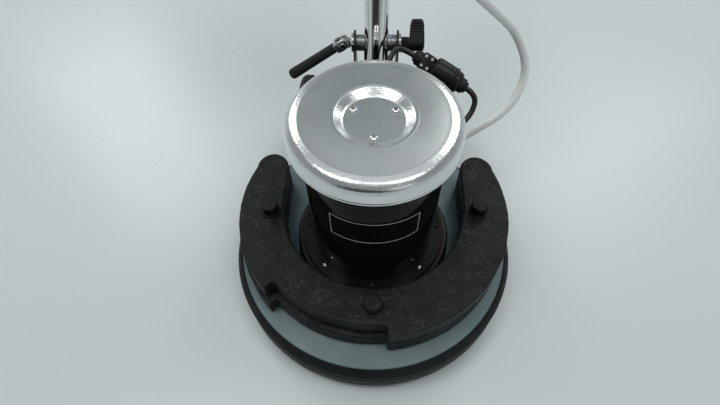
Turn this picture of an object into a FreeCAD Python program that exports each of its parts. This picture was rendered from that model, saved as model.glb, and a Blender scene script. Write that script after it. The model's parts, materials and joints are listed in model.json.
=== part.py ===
"""Single-disc floor scrubber: deck, motor, planetary drive, brush, weights, tilting pole, tank."""
import FreeCAD, Part
import math
import os
import Sketcher

Vector = FreeCAD.Vector
Rotation = FreeCAD.Rotation
Placement = FreeCAD.Placement

# Driving dimensions, millimetres and degrees. Heights are above the floor.
SIZES = {
    # deck and bumper
    "bumper_radius": 228,
    "bumper_bottom": 15,
    "deck_radius": 218,
    "deck_edge_top": 70,
    "deck_crown_top": 71,
    "collar_radius": 122,
    "collar_top": 98,
    "collar_bore": 106,
    "deck_floor": 70,
    # brush
    "brush_radius": 204,
    "brush_hole": 64,
    "clutch_screw_circle": 70,
    "bristle_top": 26,
    "block_top": 38,
    # gear train
    "gear_module": 1.75,
    "sun_teeth": 12,
    "planet_teeth": 45,
    "ring_teeth": 102,
    "gear_bottom": 80,
    "gear_width": 16,
    # bearings, three alike
    "bearing_bore": 12.5,
    "bearing_outer": 26,
    "bearing_width": 15,
    "output_bearing_low": 52,
    "lower_bearing_low": 101,
    "upper_bearing_low": 310,
    # motor
    "flange_radius": 113,
    "flange_thick": 9,
    "shell_radius": 94.5,
    "shell_wall": 3,
    "shell_top": 326,
    "core_low": 150,
    "core_high": 250,
    "air_gap_radius": 50,
    "cover_radius": 110,
    "cover_rim": 330,
    "cover_top": 360,
    "cover_skin": 1.2,
    "dish_floor": 352,
    "cover_screw_circle": 30,
    "flange_screw_circle": 102.5,
    # counterweights
    "weight_low": 72.5,
    "weight_thick": 31,
    "weight_gap": 0.5,
    "weight_bolt_x": 164.5,
    "weight_bolt_y": 11.5,
    "weight_bolt_front": -149.5,
    "bracket_top": 78,
    # rear frame, wheels and tilting hub
    "plate_inside": 31.5,
    "plate_thick": 3,
    "hub_y": 218,
    "hub_z": 296,
    "rest_lean": 28,
    "axle_y": 268,
    "axle_z": 90,
    "axle_radius": 8,
    "wheel_radius": 75,
    "wheel_middle": 128,
    "wheel_width": 30,
    # pole and handle head, measured along the pole from the hub
    "pole_radius": 19,
    "pole_wall": 2,
    "pole_low": -62,
    "pole_high": 900,
    "tank_low": 280,
    "tank_high": 560,
    "head_low": 860,
    "head_high": 966,
    "bar_height": 930,
    "bar_radius": 12.5,
    # cords
    "hose_radius": 7,
    "lead_radius": 4.25,
}

doc = FreeCAD.newDocument("FloorScrubber")
dims = doc.addObject("Spreadsheet::Sheet", "Dims")
for row, (alias, amount) in enumerate(SIZES.items(), 1):
    dims.set("A%d" % row, alias)
    dims.set("B%d" % row, str(amount))
    dims.setAlias("B%d" % row, alias)
doc.recompute()

NODES = {}


class Size:
    """A number that remembers the sheet formula it comes from."""

    def __init__(self, value, text):
        self.value = value
        self.text = text

    def combine(self, sign, other, value, swap=False):
        first, second = (formula(other), self.text) if swap else (self.text, formula(other))
        return Size(value, "(%s %s %s)" % (first, sign, second))

    def __add__(self, other):
        return self.combine("+", other, self.value + number(other))

    def __radd__(self, other):
        return self.combine("+", other, number(other) + self.value, swap=True)

    def __sub__(self, other):
        return self.combine("-", other, self.value - number(other))

    def __rsub__(self, other):
        return self.combine("-", other, number(other) - self.value, swap=True)

    def __mul__(self, other):
        return self.combine("*", other, self.value * number(other))

    def __truediv__(self, other):
        return self.combine("/", other, self.value / number(other))

    def __neg__(self):
        return Size(-self.value, "(0 - %s)" % self.text)


def number(amount):
    return amount.value if isinstance(amount, Size) else amount


def formula(amount):
    return amount.text if isinstance(amount, Size) else repr(amount)


def dim(alias):
    return Size(SIZES[alias], "Dims.%s" % alias)


def bind(item, path, amount):
    """Set a property and, where it follows the sheet, bind it."""
    if "." not in path and "[" not in path:
        setattr(item, path, number(amount))
    if isinstance(amount, Size) or "." in path:
        item.setExpression(path, formula(amount))


# ---------------------------------------------------------------- modelling helpers

def plain(name):
    return "".join(word.capitalize() for word in name.split("_"))


def new_body(name):
    body = doc.addObject("PartDesign::Body", plain(name))
    body.Label = name
    NODES[name] = body
    return body


def keep(name, item):
    item.Label = name
    NODES[name] = item
    return item


def origin_part(body, role):
    return next(item for item in body.Origin.OriginFeatures if item.Role == role)


def new_sketch(body, plane, offset=0):
    sketch = body.newObject("Sketcher::SketchObject", body.Name + "Sketch")
    sketch.AttachmentSupport = [(origin_part(body, plane), "")]
    sketch.MapMode = "FlatFace"
    bind(sketch, "AttachmentOffset.Base.z", offset)
    return sketch


def pin_point(sketch, geometry, end, axis, amount):
    """Fix one coordinate of a point from the sketch's origin."""
    if not isinstance(amount, Size) and amount == 0:
        line = -2 if axis == "DistanceX" else -1
        sketch.addConstraint(Sketcher.Constraint("PointOnObject", geometry, end, line))
        return
    index = sketch.addConstraint(Sketcher.Constraint(axis, -1, 1, geometry, end, float(number(amount))))
    if isinstance(amount, Size):
        sketch.setExpression("Constraints[%d]" % index, amount.text)


def pin_radius(sketch, geometry, amount):
    index = sketch.addConstraint(Sketcher.Constraint("Radius", geometry, float(number(amount))))
    if isinstance(amount, Size):
        sketch.setExpression("Constraints[%d]" % index, amount.text)


def arc_between(start, end, radius):
    """The short arc from start to end, always stored anticlockwise."""
    first, second = (start, end) if radius > 0 else (end, start)
    chord = second - first
    reach = abs(radius)
    rise = math.sqrt(max(reach * reach - chord.Length * chord.Length / 4, 0))
    side = Vector(-chord.y, chord.x, 0).normalize()
    centre = first + chord * 0.5 + side * rise
    low = math.atan2(first.y - centre.y, first.x - centre.x)
    high = math.atan2(second.y - centre.y, second.x - centre.x)
    if high < low:
        high += 2 * math.pi
    return Part.ArcOfCircle(Part.Circle(centre, Vector(0, 0, 1), reach), low, high)


def outline(sketch, steps):
    """A closed outline. A step is (x, y), or (x, y, radius) when an arc leads to it:
    a positive radius turns anticlockwise and a negative one clockwise."""
    base = sketch.GeometryCount
    spots = [Vector(number(step[0]), number(step[1]), 0) for step in steps]
    count = len(steps)
    ends = []
    for index in range(count):
        following = (index + 1) % count
        turn = number(steps[following][2]) if len(steps[following]) > 2 else 0
        if turn:
            sketch.addGeometry(arc_between(spots[index], spots[following], turn), False)
        else:
            sketch.addGeometry(Part.LineSegment(spots[index], spots[following]), False)
        ends.append((2, 1) if turn < 0 else (1, 2))
    for index in range(count):
        before = (index - 1) % count
        join = Sketcher.Constraint("Coincident", base + before, ends[before][1],
                                   base + index, ends[index][0])
        sketch.addConstraint(join)
        pin_point(sketch, base + index, ends[index][0], "DistanceX", steps[index][0])
        pin_point(sketch, base + index, ends[index][0], "DistanceY", steps[index][1])
        following = steps[(index + 1) % count]
        if len(following) > 2:
            radius = following[2]
            pin_radius(sketch, base + index, radius if number(radius) > 0 else -radius)
    return sketch


def circle(sketch, across, up, radius):
    index = sketch.addGeometry(Part.Circle(Vector(number(across), number(up), 0), Vector(0, 0, 1),
                                           float(number(radius))), False)
    pin_point(sketch, index, 3, "DistanceX", across)
    pin_point(sketch, index, 3, "DistanceY", up)
    pin_radius(sketch, index, radius)
    return sketch


def rectangle(sketch, left, low, right, high):
    return outline(sketch, [(left, low), (right, low), (right, high), (left, high)])


def rounded_rectangle(sketch, left, low, right, high, corner):
    return outline(sketch, [(left + corner, low), (right - corner, low), (right, low + corner, corner),
                            (right, high - corner), (right - corner, high, corner), (left + corner, high),
                            (left, high - corner, corner), (left, low + corner),
                            ])


def revolve(body, steps, plane="XZ_Plane"):
    """Turn an outline of (radius, height) steps about the body's own Z."""
    sketch = outline(new_sketch(body, plane), steps)
    feature = body.newObject("PartDesign::Revolution", body.Name + "Turned")
    feature.Profile = sketch
    feature.ReferenceAxis = (sketch, ["V_Axis"])
    feature.Angle = 360
    doc.recompute()
    return feature


def pad(body, sketch, length, midplane=False):
    feature = body.newObject("PartDesign::Pad", body.Name + "Pad")
    feature.Profile = sketch
    bind(feature, "Length", length)
    feature.Midplane = midplane
    doc.recompute()
    return feature


def pocket(body, sketch, depth, backwards=False, midplane=False):
    """Cut a sketch's outline into the body and make sure that something went."""
    before = body.Shape.Volume
    feature = body.newObject("PartDesign::Pocket", body.Name + "Pocket")
    feature.Profile = sketch
    bind(feature, "Length", depth)
    feature.Reversed = backwards
    feature.Midplane = midplane
    doc.recompute()
    if body.Shape.Volume > before - 1:
        raise RuntimeError("%s: the pocket cuts nothing" % body.Label)
    return feature


def around(body, features, times, role="Z_Axis"):
    pattern = body.newObject("PartDesign::PolarPattern", body.Name + "Pattern")
    pattern.Originals = features
    pattern.Axis = (origin_part(body, role), [""])
    pattern.Angle = 360
    pattern.Occurrences = times
    body.Tip = pattern
    doc.recompute()
    return pattern


def cylinder(name, radius, height, place=None):
    item = doc.addObject("Part::Cylinder", plain(name))
    bind(item, "Radius", radius)
    bind(item, "Height", height)
    if place:
        item.Placement = place
    return item


def fuse(name, items):
    item = doc.addObject("Part::MultiFuse", plain(name))
    item.Shapes = items
    return item


def cut(name, base, tool):
    item = doc.addObject("Part::Cut", plain(name))
    item.Base = base
    item.Tool = tool
    return item


def group(name, items):
    item = doc.addObject("Part::Compound", plain(name))
    item.Links = items
    return keep(name, item)


def solid(name, shape, place=None):
    item = doc.addObject("Part::Feature", plain(name))
    item.Shape = shape
    if place:
        item.Placement = place
    return keep(name, item)


ALONG_X = Rotation(Vector(0, 1, 0), 90)
HUB = Vector(0, SIZES["hub_y"], SIZES["hub_z"])


def stand_on(item, x, y, z, rotation=None):
    """Place an item, its origin bound to the sheet where the amounts are."""
    item.Placement = Placement(Vector(number(x), number(y), number(z)), rotation or Rotation())
    for letter, amount in zip("xyz", (x, y, z)):
        bind(item, "Placement.Base." + letter, amount)


def lean(item):
    """Put an item that is drawn along an upright pole into the leaning pole's frame."""
    item.Placement = Placement(HUB, Rotation(Vector(-1, 0, 0), SIZES["rest_lean"]))
    item.setExpression("Placement.Base.y", "Dims.hub_y")
    item.setExpression("Placement.Base.z", "Dims.hub_z")
    item.setExpression("Placement.Rotation.Angle", "Dims.rest_lean")


def leaning(x, y, z):
    """The place of a point of the pole's frame when the pole leans at rest."""
    return HUB + Rotation(Vector(-1, 0, 0), SIZES["rest_lean"]).multVec(Vector(x, y, z))


# ---------------------------------------------------------------- deck, bumper and brush

WEIGHT_BOLTS = [(dim("weight_bolt_x") + 2, dim("weight_bolt_y") + 3.5),
                (2 - dim("weight_bolt_x"), dim("weight_bolt_y") - 3.5), (3, dim("weight_bolt_front"))]


def deck_housing():
    """Cast aluminium deck: skirt, nearly flat top, motor collar, bearing boss, pads and bracket shelf."""
    body = new_body("deck_housing")
    skin = 6
    edge = dim("deck_radius")
    low = dim("output_bearing_low")
    top = dim("deck_floor")
    collar = dim("collar_radius")
    underside = dim("deck_edge_top") - 7
    revolve(body, [
        (dim("bearing_outer"), low), (40, low), (40, top - 10), (edge - skin - 12, underside),
        (edge - skin, 45), (edge - skin, 30), (edge, 30), (edge, dim("deck_edge_top") - 2),
        (edge - 2, dim("deck_edge_top"), 2), (collar, dim("deck_crown_top")),
        (collar, dim("collar_top") - 4), (collar - 4, dim("collar_top"), 4),
        (dim("collar_bore"), dim("collar_top")), (dim("collar_bore"), top), (22, top),
        (22, low + dim("bearing_width")), (dim("bearing_outer"), low + dim("bearing_width"))])
    pads = new_sketch(body, "XY_Plane", underside + 3)
    for across, back in WEIGHT_BOLTS:
        circle(pads, across, back, 18)
    pad(body, pads, dim("weight_low") - underside - 3)
    shelf = rectangle(new_sketch(body, "XY_Plane", underside + 3), -44, 130, 44, 204)
    pad(body, shelf, dim("bracket_top") - underside - 9)
    holes = new_sketch(body, "XY_Plane", dim("weight_low"))
    for across, back in WEIGHT_BOLTS:
        circle(holes, across, back, 6.05)
    pocket(body, holes, 13)
    shelf_holes = new_sketch(body, "XY_Plane", dim("bracket_top") - 6)
    for across, back in BRACKET_BOLTS:
        circle(shelf_holes, across, back, 4.05)
    pocket(body, shelf_holes, 12)


def bumper():
    """Rubber ring that hooks under the skirt: flat band, groove, narrow lip and a sloped upper edge."""
    body = new_body("bumper")
    radius = dim("bumper_radius")
    low = dim("bumper_bottom")
    inner = dim("deck_radius") + 0.2
    hook = dim("deck_radius") - 5.5
    under_skirt = 29.8
    groove = low + 30
    lip = radius + 0.3
    revolve(body, [
        (hook, low + 7), (hook + 6.5, low), (radius - 3, low), (radius, low + 3, 3), (radius, groove),
        (radius - 1, groove + 1.2), (radius - 3, groove + 1.8), (radius - 3.4, groove + 3.4),
        (radius - 2.6, groove + 5), (lip, groove + 6.5), (lip, groove + 12.5),
        (radius - 5, groove + 21, 11), (inner + 1.2, groove + 24.4), (inner, groove + 24),
        (inner, under_skirt), (hook, under_skirt)])


def brush_block():
    """Plywood-thick ring that carries the bristles."""
    body = new_body("brush_block")
    rim = dim("brush_radius")
    revolve(body, [(dim("brush_hole"), dim("bristle_top")), (rim, dim("bristle_top")),
                   (rim, dim("block_top") - 2), (rim - 2, dim("block_top"), 2),
                   (dim("brush_hole"), dim("block_top"))])
    screws = new_sketch(body, "XY_Plane", dim("block_top"))
    circle(screws, dim("clutch_screw_circle"), 0, 2.5)
    around(body, [pocket(body, screws, 8)], 6)


def bristles():
    """The ring of scrubbing fibre, one closed solid that rests on the floor."""
    body = new_body("bristles")
    rim = dim("brush_radius")
    hole = dim("brush_hole") + 8
    revolve(body, [(hole, 0), (rim - 1, 0), (rim - 3, dim("bristle_top")), (hole, dim("bristle_top"))])


def brush_clutch():
    """Plate screwed on the brush with three bayonet slots for the drive lugs."""
    body = new_body("brush_clutch")
    revolve(body, [(24, dim("block_top")), (76, dim("block_top")), (76, dim("block_top") + 5),
                   (24, dim("block_top") + 5)])
    slot = new_sketch(body, "XY_Plane", dim("block_top") + 5)
    outline(slot, [(31, -11), (43, -11), (43, 11), (31, 11)])
    around(body, [pocket(body, slot, 5)], 3)
    screw = circle(new_sketch(body, "XY_Plane", dim("block_top") + 5), dim("clutch_screw_circle"), 0, 2.5)
    around(body, [pocket(body, screw, 5)], 6)


def drive_clutch():
    """Disc on the output shaft with three lugs that reach into the brush's plate."""
    body = new_body("drive_clutch")
    low = dim("block_top") + 5.3
    revolve(body, [(dim("bearing_bore"), low), (46, low), (46, low + 5), (20, low + 5), (20, low + 8),
                   (dim("bearing_bore"), low + 8)])
    lug = rectangle(new_sketch(body, "XY_Plane", low - 4.5), 32, -6, 42, 6)
    around(body, [pad(body, lug, 5)], 3)


# ---------------------------------------------------------------- planetary gear train

CENTRES = (SIZES["sun_teeth"] + SIZES["planet_teeth"]) * SIZES["gear_module"] / 2


def gear_outline(teeth, tip, root, pitch_half, tip_half, root_half):
    """A closed wire of straight-flanked teeth, the first of them centred on +X."""
    module = SIZES["gear_module"]
    pitch = teeth * module / 2
    points = []
    for tooth in range(teeth):
        centre = 2 * math.pi * tooth / teeth
        for radius, half in ((pitch + root, -root_half), (pitch, -pitch_half), (pitch + tip, -tip_half),
                             (pitch + tip, tip_half), (pitch, pitch_half), (pitch + root, root_half)):
            angle = centre + half / radius
            points.append(Vector(radius * math.cos(angle), radius * math.sin(angle), 0))
    points.append(points[0])
    return Part.makePolygon(points)


def external_gear(teeth, width):
    """Teeth that point outwards, slimmer than the gaps they run in."""
    module = SIZES["gear_module"]
    wire = gear_outline(teeth, 0.75 * module, -1.15 * module, 0.62 * module, 0.3 * module, 1.0 * module)
    return Part.Face(wire).extrude(Vector(0, 0, width))


def ring_gear():
    """Internal ring, held in the deck's collar; a tooth space is centred on +X."""
    module = SIZES["gear_module"]
    low = SIZES["gear_bottom"] - 1
    height = SIZES["collar_top"] - low
    rim = Part.makeCylinder(SIZES["collar_bore"] - 0.1, height)
    space = gear_outline(SIZES["ring_teeth"], 1.1 * module, -0.75 * module,
                         0.92 * module, 0.62 * module, 1.2 * module)
    shape = rim.cut(Part.Face(space).extrude(Vector(0, 0, height)))
    for angle in (45, 135, 225, 315):
        turn = math.radians(angle)
        centre = Vector(SIZES["flange_screw_circle"] * math.cos(turn),
                        SIZES["flange_screw_circle"] * math.sin(turn), 0)
        shape = shape.cut(Part.makeCylinder(2.05, height, centre))
    solid("ring_gear", shape, Placement(Vector(0, 0, low), Rotation()))


def planet_gears():
    """Three planets between sun and ring, each turning on a pin of the carrier."""
    width = SIZES["gear_width"] - 1
    for index, angle in enumerate((0, 120, 240), 1):
        shape = external_gear(SIZES["planet_teeth"], width)
        shape = shape.cut(Part.makeCylinder(6.05, width))
        for spoke in range(6):
            turn = math.radians(60 * spoke + 30)
            window = Vector(22 * math.cos(turn), 22 * math.sin(turn), 0)
            shape = shape.cut(Part.makeCylinder(6.5, width, window))
        turn = math.radians(angle)
        centre = Vector(CENTRES * math.cos(turn), CENTRES * math.sin(turn), SIZES["gear_bottom"] + 0.5)
        solid("planet_gear_%d" % index, shape, Placement(centre, Rotation(Vector(0, 0, 1), angle)))


def planet_carrier():
    """Disc with three pins and the output shaft, made in one piece."""
    body = new_body("planet_carrier")
    low = dim("deck_floor") + 1.5
    top = dim("gear_bottom") - 0.5
    shaft = dim("bearing_bore")
    revolve(body, [(0, dim("block_top") + 1), (shaft - 1.5, dim("block_top") + 1),
                   (shaft, dim("block_top") + 2.5), (shaft, dim("output_bearing_low") + 15.3),
                   (18, dim("output_bearing_low") + 15.3), (18, low), (68, low), (68, top), (0, top)])
    pin = circle(new_sketch(body, "XY_Plane", top), CENTRES, 0, 6)
    around(body, [pad(body, pin, 16.5)], 3)


def ball_bearings():
    """Three alike: output shaft, lower motor bearing, upper motor bearing."""
    rings = []
    for index, alias in enumerate(("output_bearing_low", "lower_bearing_low", "upper_bearing_low"), 1):
        outer = cylinder("bearing_race_%d" % index, dim("bearing_outer"), dim("bearing_width"))
        inner = cylinder("bearing_bore_%d" % index, dim("bearing_bore") + 0.05, dim("bearing_width"))
        ring = cut("bearing_%d" % index, outer, inner)
        bind(ring, "Placement.Base.z", dim(alias))
        rings.append(ring)
    group("ball_bearings", rings)


# ---------------------------------------------------------------- motor

def motor_flange():
    """Lower end shield: closes the gear case and carries the motor."""
    body = new_body("motor_flange")
    low = dim("collar_top")
    top = low + dim("flange_thick")
    rim = dim("flange_radius")
    bearing = dim("lower_bearing_low")
    seat = dim("bearing_outer")
    revolve(body, [
        (16, low), (rim, low), (rim, top - 1.5), (rim - 1.5, top, 1.5),
        (dim("shell_radius") - dim("shell_wall") - 0.1, top),
        (dim("shell_radius") - dim("shell_wall") - 0.1, top + 4), (84, top + 4), (84, top), (36, top),
        (34, bearing + dim("bearing_width")), (seat, bearing + dim("bearing_width")), (seat, bearing),
        (16, bearing)])
    hole = circle(new_sketch(body, "XY_Plane", top), dim("flange_screw_circle"), 0, 2.2)
    around(body, [pocket(body, hole, 9)], 8)


def flange_screws():
    """Four pan-head screws that hold the flange to the ring gear."""
    top = dim("collar_top") + dim("flange_thick")
    screws = []
    for index, angle in enumerate((45, 135, 225, 315), 1):
        turn = math.radians(angle)
        x = dim("flange_screw_circle") * math.cos(turn)
        y = dim("flange_screw_circle") * math.sin(turn)
        head = cylinder("flange_screw_head_%d" % index, 3.6, 2.6)
        stand_on(head, x, y, top)
        shank = cylinder("flange_screw_shank_%d" % index, 2, 16)
        stand_on(shank, x, y, top - 16)
        screws.append(fuse("flange_screw_%d" % index, [head, shank]))
    group("flange_screws", screws)


def motor_shell():
    """Rolled steel tube round the stator."""
    body = new_body("motor_shell")
    outer = dim("shell_radius")
    low = dim("collar_top") + dim("flange_thick")
    top = dim("shell_top")
    inner = outer - dim("shell_wall")
    revolve(body, [(inner, low), (outer, low), (outer, top - 1), (outer - 1, top, 1), (inner, top)])


def name_plate():
    """Blank framed plate curved round the front of the shell."""
    body = new_body("name_plate")
    outer = dim("shell_radius") + 1.3
    inner = dim("shell_radius") + 0.05
    left, right = math.radians(-36.8), math.radians(38.4)
    near = (math.sin(left), -math.cos(left))
    far = (math.sin(right), -math.cos(right))
    frame = new_sketch(body, "XY_Plane", 217)
    outline(frame, [(outer * near[0], outer * near[1]), (outer * far[0], outer * far[1], outer),
                    (inner * far[0], inner * far[1]), (inner * near[0], inner * near[1], -inner)])
    pad(body, frame, 47.5)


def stator():
    """Laminated core and the two rings of end windings."""
    core = new_body("stator_core")
    wall = dim("shell_radius") - dim("shell_wall") - 0.1
    gap = dim("air_gap_radius")
    revolve(core, [(gap, dim("core_low")), (wall, dim("core_low")), (wall, dim("core_high")),
                   (gap, dim("core_high"))])
    slot = rectangle(new_sketch(core, "XY_Plane", dim("core_high")), gap - 2, -2, gap + 20, 2)
    around(core, [pocket(core, slot, 100)], 24)
    windings = new_body("stator_windings")
    revolve(windings, [
        (58, dim("core_low") - 20), (62, dim("core_low") - 24, -4), (80, dim("core_low") - 24),
        (84, dim("core_low") - 20, 4), (84, dim("core_low") - 0.2), (58, dim("core_low") - 0.2)])
    revolve(windings, [
        (58, dim("core_high") + 0.2), (84, dim("core_high") + 0.2), (84, dim("core_high") + 18),
        (80, dim("core_high") + 22, 4), (62, dim("core_high") + 22), (58, dim("core_high") + 18, 4)])


def motor_rotor():
    """Cast cage rotor with cooling blades on its upper end ring."""
    body = new_body("motor_rotor")
    rim = dim("air_gap_radius") - 0.6
    revolve(body, [(16.02, dim("core_low") - 6), (44, dim("core_low") - 6), (44, dim("core_low")),
                   (rim, dim("core_low")), (rim, dim("core_high")), (44, dim("core_high")),
                   (44, dim("core_high") + 6), (16.02, dim("core_high") + 6)])
    blade = rectangle(new_sketch(body, "XY_Plane", dim("core_high") + 5.5), 22, -1.5, 42, 1.5)
    around(body, [pad(body, blade, 20)], 10)


def motor_shaft():
    """Stepped shaft; its lower end is cut as the sun pinion."""
    pinion_low = SIZES["gear_bottom"]
    width = SIZES["gear_width"]
    bore = SIZES["bearing_bore"]
    shape = external_gear(SIZES["sun_teeth"], width)
    shape.translate(Vector(0, 0, pinion_low))
    steps = [(8, pinion_low + width - 1, 101), (bore, 100, 117), (16, 117, 308), (bore, 308, 326)]
    for radius, low, high in steps:
        shape = shape.fuse(Part.makeCylinder(radius, high - low, Vector(0, 0, low)))
    solid("motor_shaft", shape.removeSplitter())


def upper_end_shield():
    """Vented end shield with the upper bearing seat and three posts for the cover."""
    body = new_body("upper_end_shield")
    wall = dim("shell_radius") - dim("shell_wall") - 0.1
    top = dim("shell_top")
    seat = dim("bearing_outer")
    bearing = dim("upper_bearing_low")
    revolve(body, [
        (seat, bearing), (34, bearing), (36, top - 8), (wall, top - 8), (wall, top), (36, top + 3),
        (15, top + 3),
        (15, bearing + dim("bearing_width")), (seat, bearing + dim("bearing_width"))])
    vent = new_sketch(body, "XY_Plane", top + 1)
    outline(vent, [(48, -6), (80, -11), (80, 11), (48, 6)])
    around(body, [pocket(body, vent, 12)], 8)
    post = circle(new_sketch(body, "XY_Plane", top + 2), 0, -dim("cover_screw_circle"), 4.5)
    around(body, [pad(body, post, dim("dish_floor") - dim("cover_skin") - top - 2.1)], 3)
    hole = circle(new_sketch(body, "XY_Plane", dim("dish_floor") - 1), 0, -dim("cover_screw_circle"), 2.05)
    around(body, [pocket(body, hole, 16)], 3)


def fan_cover():
    """Pressed cover: rolled shoulder, flat ring and a shallow dish in the middle."""
    body = new_body("fan_cover")
    rim = dim("cover_radius")
    low = dim("cover_rim")
    top = dim("cover_top")
    skin = dim("cover_skin")
    floor = dim("dish_floor")
    shoulder = 15
    revolve(body, [
        (0, floor - skin), (38.5, floor - skin), (50, top - skin - 0.4), (52, top - skin, -4),
        (rim - shoulder, top - skin), (rim - skin, top - shoulder, -(shoulder - skin)), (rim - skin, low),
        (rim + 0.8, low), (rim + 0.8, low + 2), (rim, low + 3.2), (rim, top - shoulder),
        (rim - shoulder, top, shoulder), (52, top), (49, top - 0.6, 5), (39, floor + 0.3), (37, floor, -4),
        (0, floor)])
    hole = circle(new_sketch(body, "XY_Plane", floor + 1), 0, -dim("cover_screw_circle"), 2.2)
    around(body, [pocket(body, hole, 3)], 3)


def cover_screws():
    """Three pan-head screws in the cover's dish."""
    screws = []
    floor = dim("dish_floor")
    for index, angle in enumerate((-90, 30, 150), 1):
        turn = math.radians(angle)
        x = dim("cover_screw_circle") * math.cos(turn)
        y = dim("cover_screw_circle") * math.sin(turn)
        head = cylinder("cover_screw_head_%d" % index, 4.6, 2.8)
        stand_on(head, x, y, floor)
        shank = cylinder("cover_screw_shank_%d" % index, 2, 14)
        stand_on(shank, x, y, floor - 14)
        screws.append(fuse("cover_screw_%d" % index, [head, shank]))
    group("cover_screws", screws)


# ---------------------------------------------------------------- counterweights

def counterweight(name, low, inner_arc):
    """Horseshoe casting: two horns towards the rear and a step in the front left edge."""
    body = new_body(name)
    reach = 213.5
    sketch = new_sketch(body, "XY_Plane", low)
    outline(sketch, [
        (25, -191), (199, 98, reach), (172.5, 127, 29), (146, 98, 29), (146, 14), (141, 6),
        (-141, 6, -inner_arc), (-146, 14), (-146, 98), (-172.5, 127, 29), (-199, 98, 29),
        (-156, -125, reach), (-143, -113), (22, -174, 196)])
    for across, back in WEIGHT_BOLTS:
        circle(sketch, across, back, 6.4)
    pad(body, sketch, dim("weight_thick"))


def weight_bolts():
    """Three bolts with round heads and washers through both weights into the deck."""
    bolts = []
    top = dim("weight_low") + dim("weight_thick") * 2 + dim("weight_gap")
    for index, (across, back) in enumerate(WEIGHT_BOLTS, 1):
        washer = cylinder("weight_washer_%d" % index, 15, 2)
        stand_on(washer, across, back, top)
        head = cylinder("weight_head_%d" % index, 13, 19)
        stand_on(head, across, back, top + 0.5)
        shank = cylinder("weight_shank_%d" % index, 6, top - 60)
        stand_on(shank, across, back, 60.5)
        bolts.append(fuse("weight_bolt_%d" % index, [washer, head, shank]))
    group("weight_bolts", bolts)


# ---------------------------------------------------------------- rear frame and wheels

BRACKET_BOLTS = [(-16, 148), (16, 148), (-16, 184), (16, 184)]


def rear_frame():
    """Welded frame: foot, web and the two side plates that carry the axle and the pole's hub."""
    body = new_body("rear_frame")
    half = dim("plate_inside")
    hub_y, hub_z = dim("hub_y"), dim("hub_z")
    axle_y, axle_z = dim("axle_y"), dim("axle_z")
    thick = dim("plate_thick")
    top = dim("bracket_top")
    pad(body, rectangle(new_sketch(body, "XY_Plane", top - 6), -half - 0.5, 132, half + 0.5, 206), 6)
    pad(body, rectangle(new_sketch(body, "XY_Plane", top - 1), -half - 0.5, 200, half + 0.5, 206), 66)
    for start in (half, -half - thick):
        sketch = new_sketch(body, "YZ_Plane", start)
        outline(sketch, [
            (132, top - 6), (206, top - 6), (axle_y, axle_z - 20), (axle_y + 20, axle_z, 20),
            (hub_y + 19, hub_z), (hub_y, hub_z + 19, 19), (hub_y - 19, hub_z, 19), (162, 130), (132, 98)])
        circle(sketch, hub_y, hub_z, 6.1)
        circle(sketch, axle_y, axle_z, dim("axle_radius") + 0.02)
        pad(body, sketch, thick)
    holes = new_sketch(body, "XY_Plane", top)
    for across, back in BRACKET_BOLTS:
        circle(holes, across, back, 4.05)
    pocket(body, holes, 6)


def bracket_bolts():
    """Four hexagon bolts that hold the bracket to the deck."""
    bolts = []
    for index, (across, back) in enumerate(BRACKET_BOLTS, 1):
        head = doc.addObject("Part::Prism", "BracketHead%d" % index)
        head.Polygon = 6
        head.Circumradius = 7.5
        head.Height = 5.5
        stand_on(head, across, back, dim("bracket_top"))
        shank = cylinder("bracket_shank_%d" % index, 4, 21.5)
        stand_on(shank, across, back, dim("bracket_top") - 21)
        bolts.append(fuse("bracket_bolt_%d" % index, [head, shank]))
    group("bracket_bolts", bolts)


def wheel_axle():
    """Axle with collars that keep the wheels off the side plates."""
    body = new_body("wheel_axle")
    radius = dim("axle_radius")
    end = dim("wheel_middle") + dim("wheel_width") / 2 + 6
    collar = dim("wheel_middle") - dim("wheel_width") / 2 - 1
    steps = [(0, -end), (radius - 1, -end), (radius, -end + 1)]
    steps += [(radius, -collar), (radius + 3, -collar), (radius + 3, -collar + 5), (radius, -collar + 5)]
    steps += [(radius, collar - 5), (radius + 3, collar - 5), (radius + 3, collar), (radius, collar)]
    steps += [(radius, end - 1), (radius - 1, end), (0, end)]
    revolve(body, steps)
    stand_on(body, 0, dim("axle_y"), dim("axle_z"), ALONG_X)


def axle_caps():
    """Push-on caps outside the wheels."""
    caps = []
    start = dim("wheel_middle") + dim("wheel_width") / 2 + 1
    for index, side in enumerate((1, -1), 1):
        outer = cylinder("axle_cap_outer_%d" % index, 13, 8)
        bore = cylinder("axle_cap_bore_%d" % index, dim("axle_radius"), 5)
        cap = cut("axle_cap_%d" % index, outer, bore)
        turn = ALONG_X if side > 0 else Rotation(Vector(0, 1, 0), -90)
        stand_on(cap, start * side, dim("axle_y"), dim("axle_z"), turn)
        caps.append(cap)
    group("axle_caps", caps)


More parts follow.
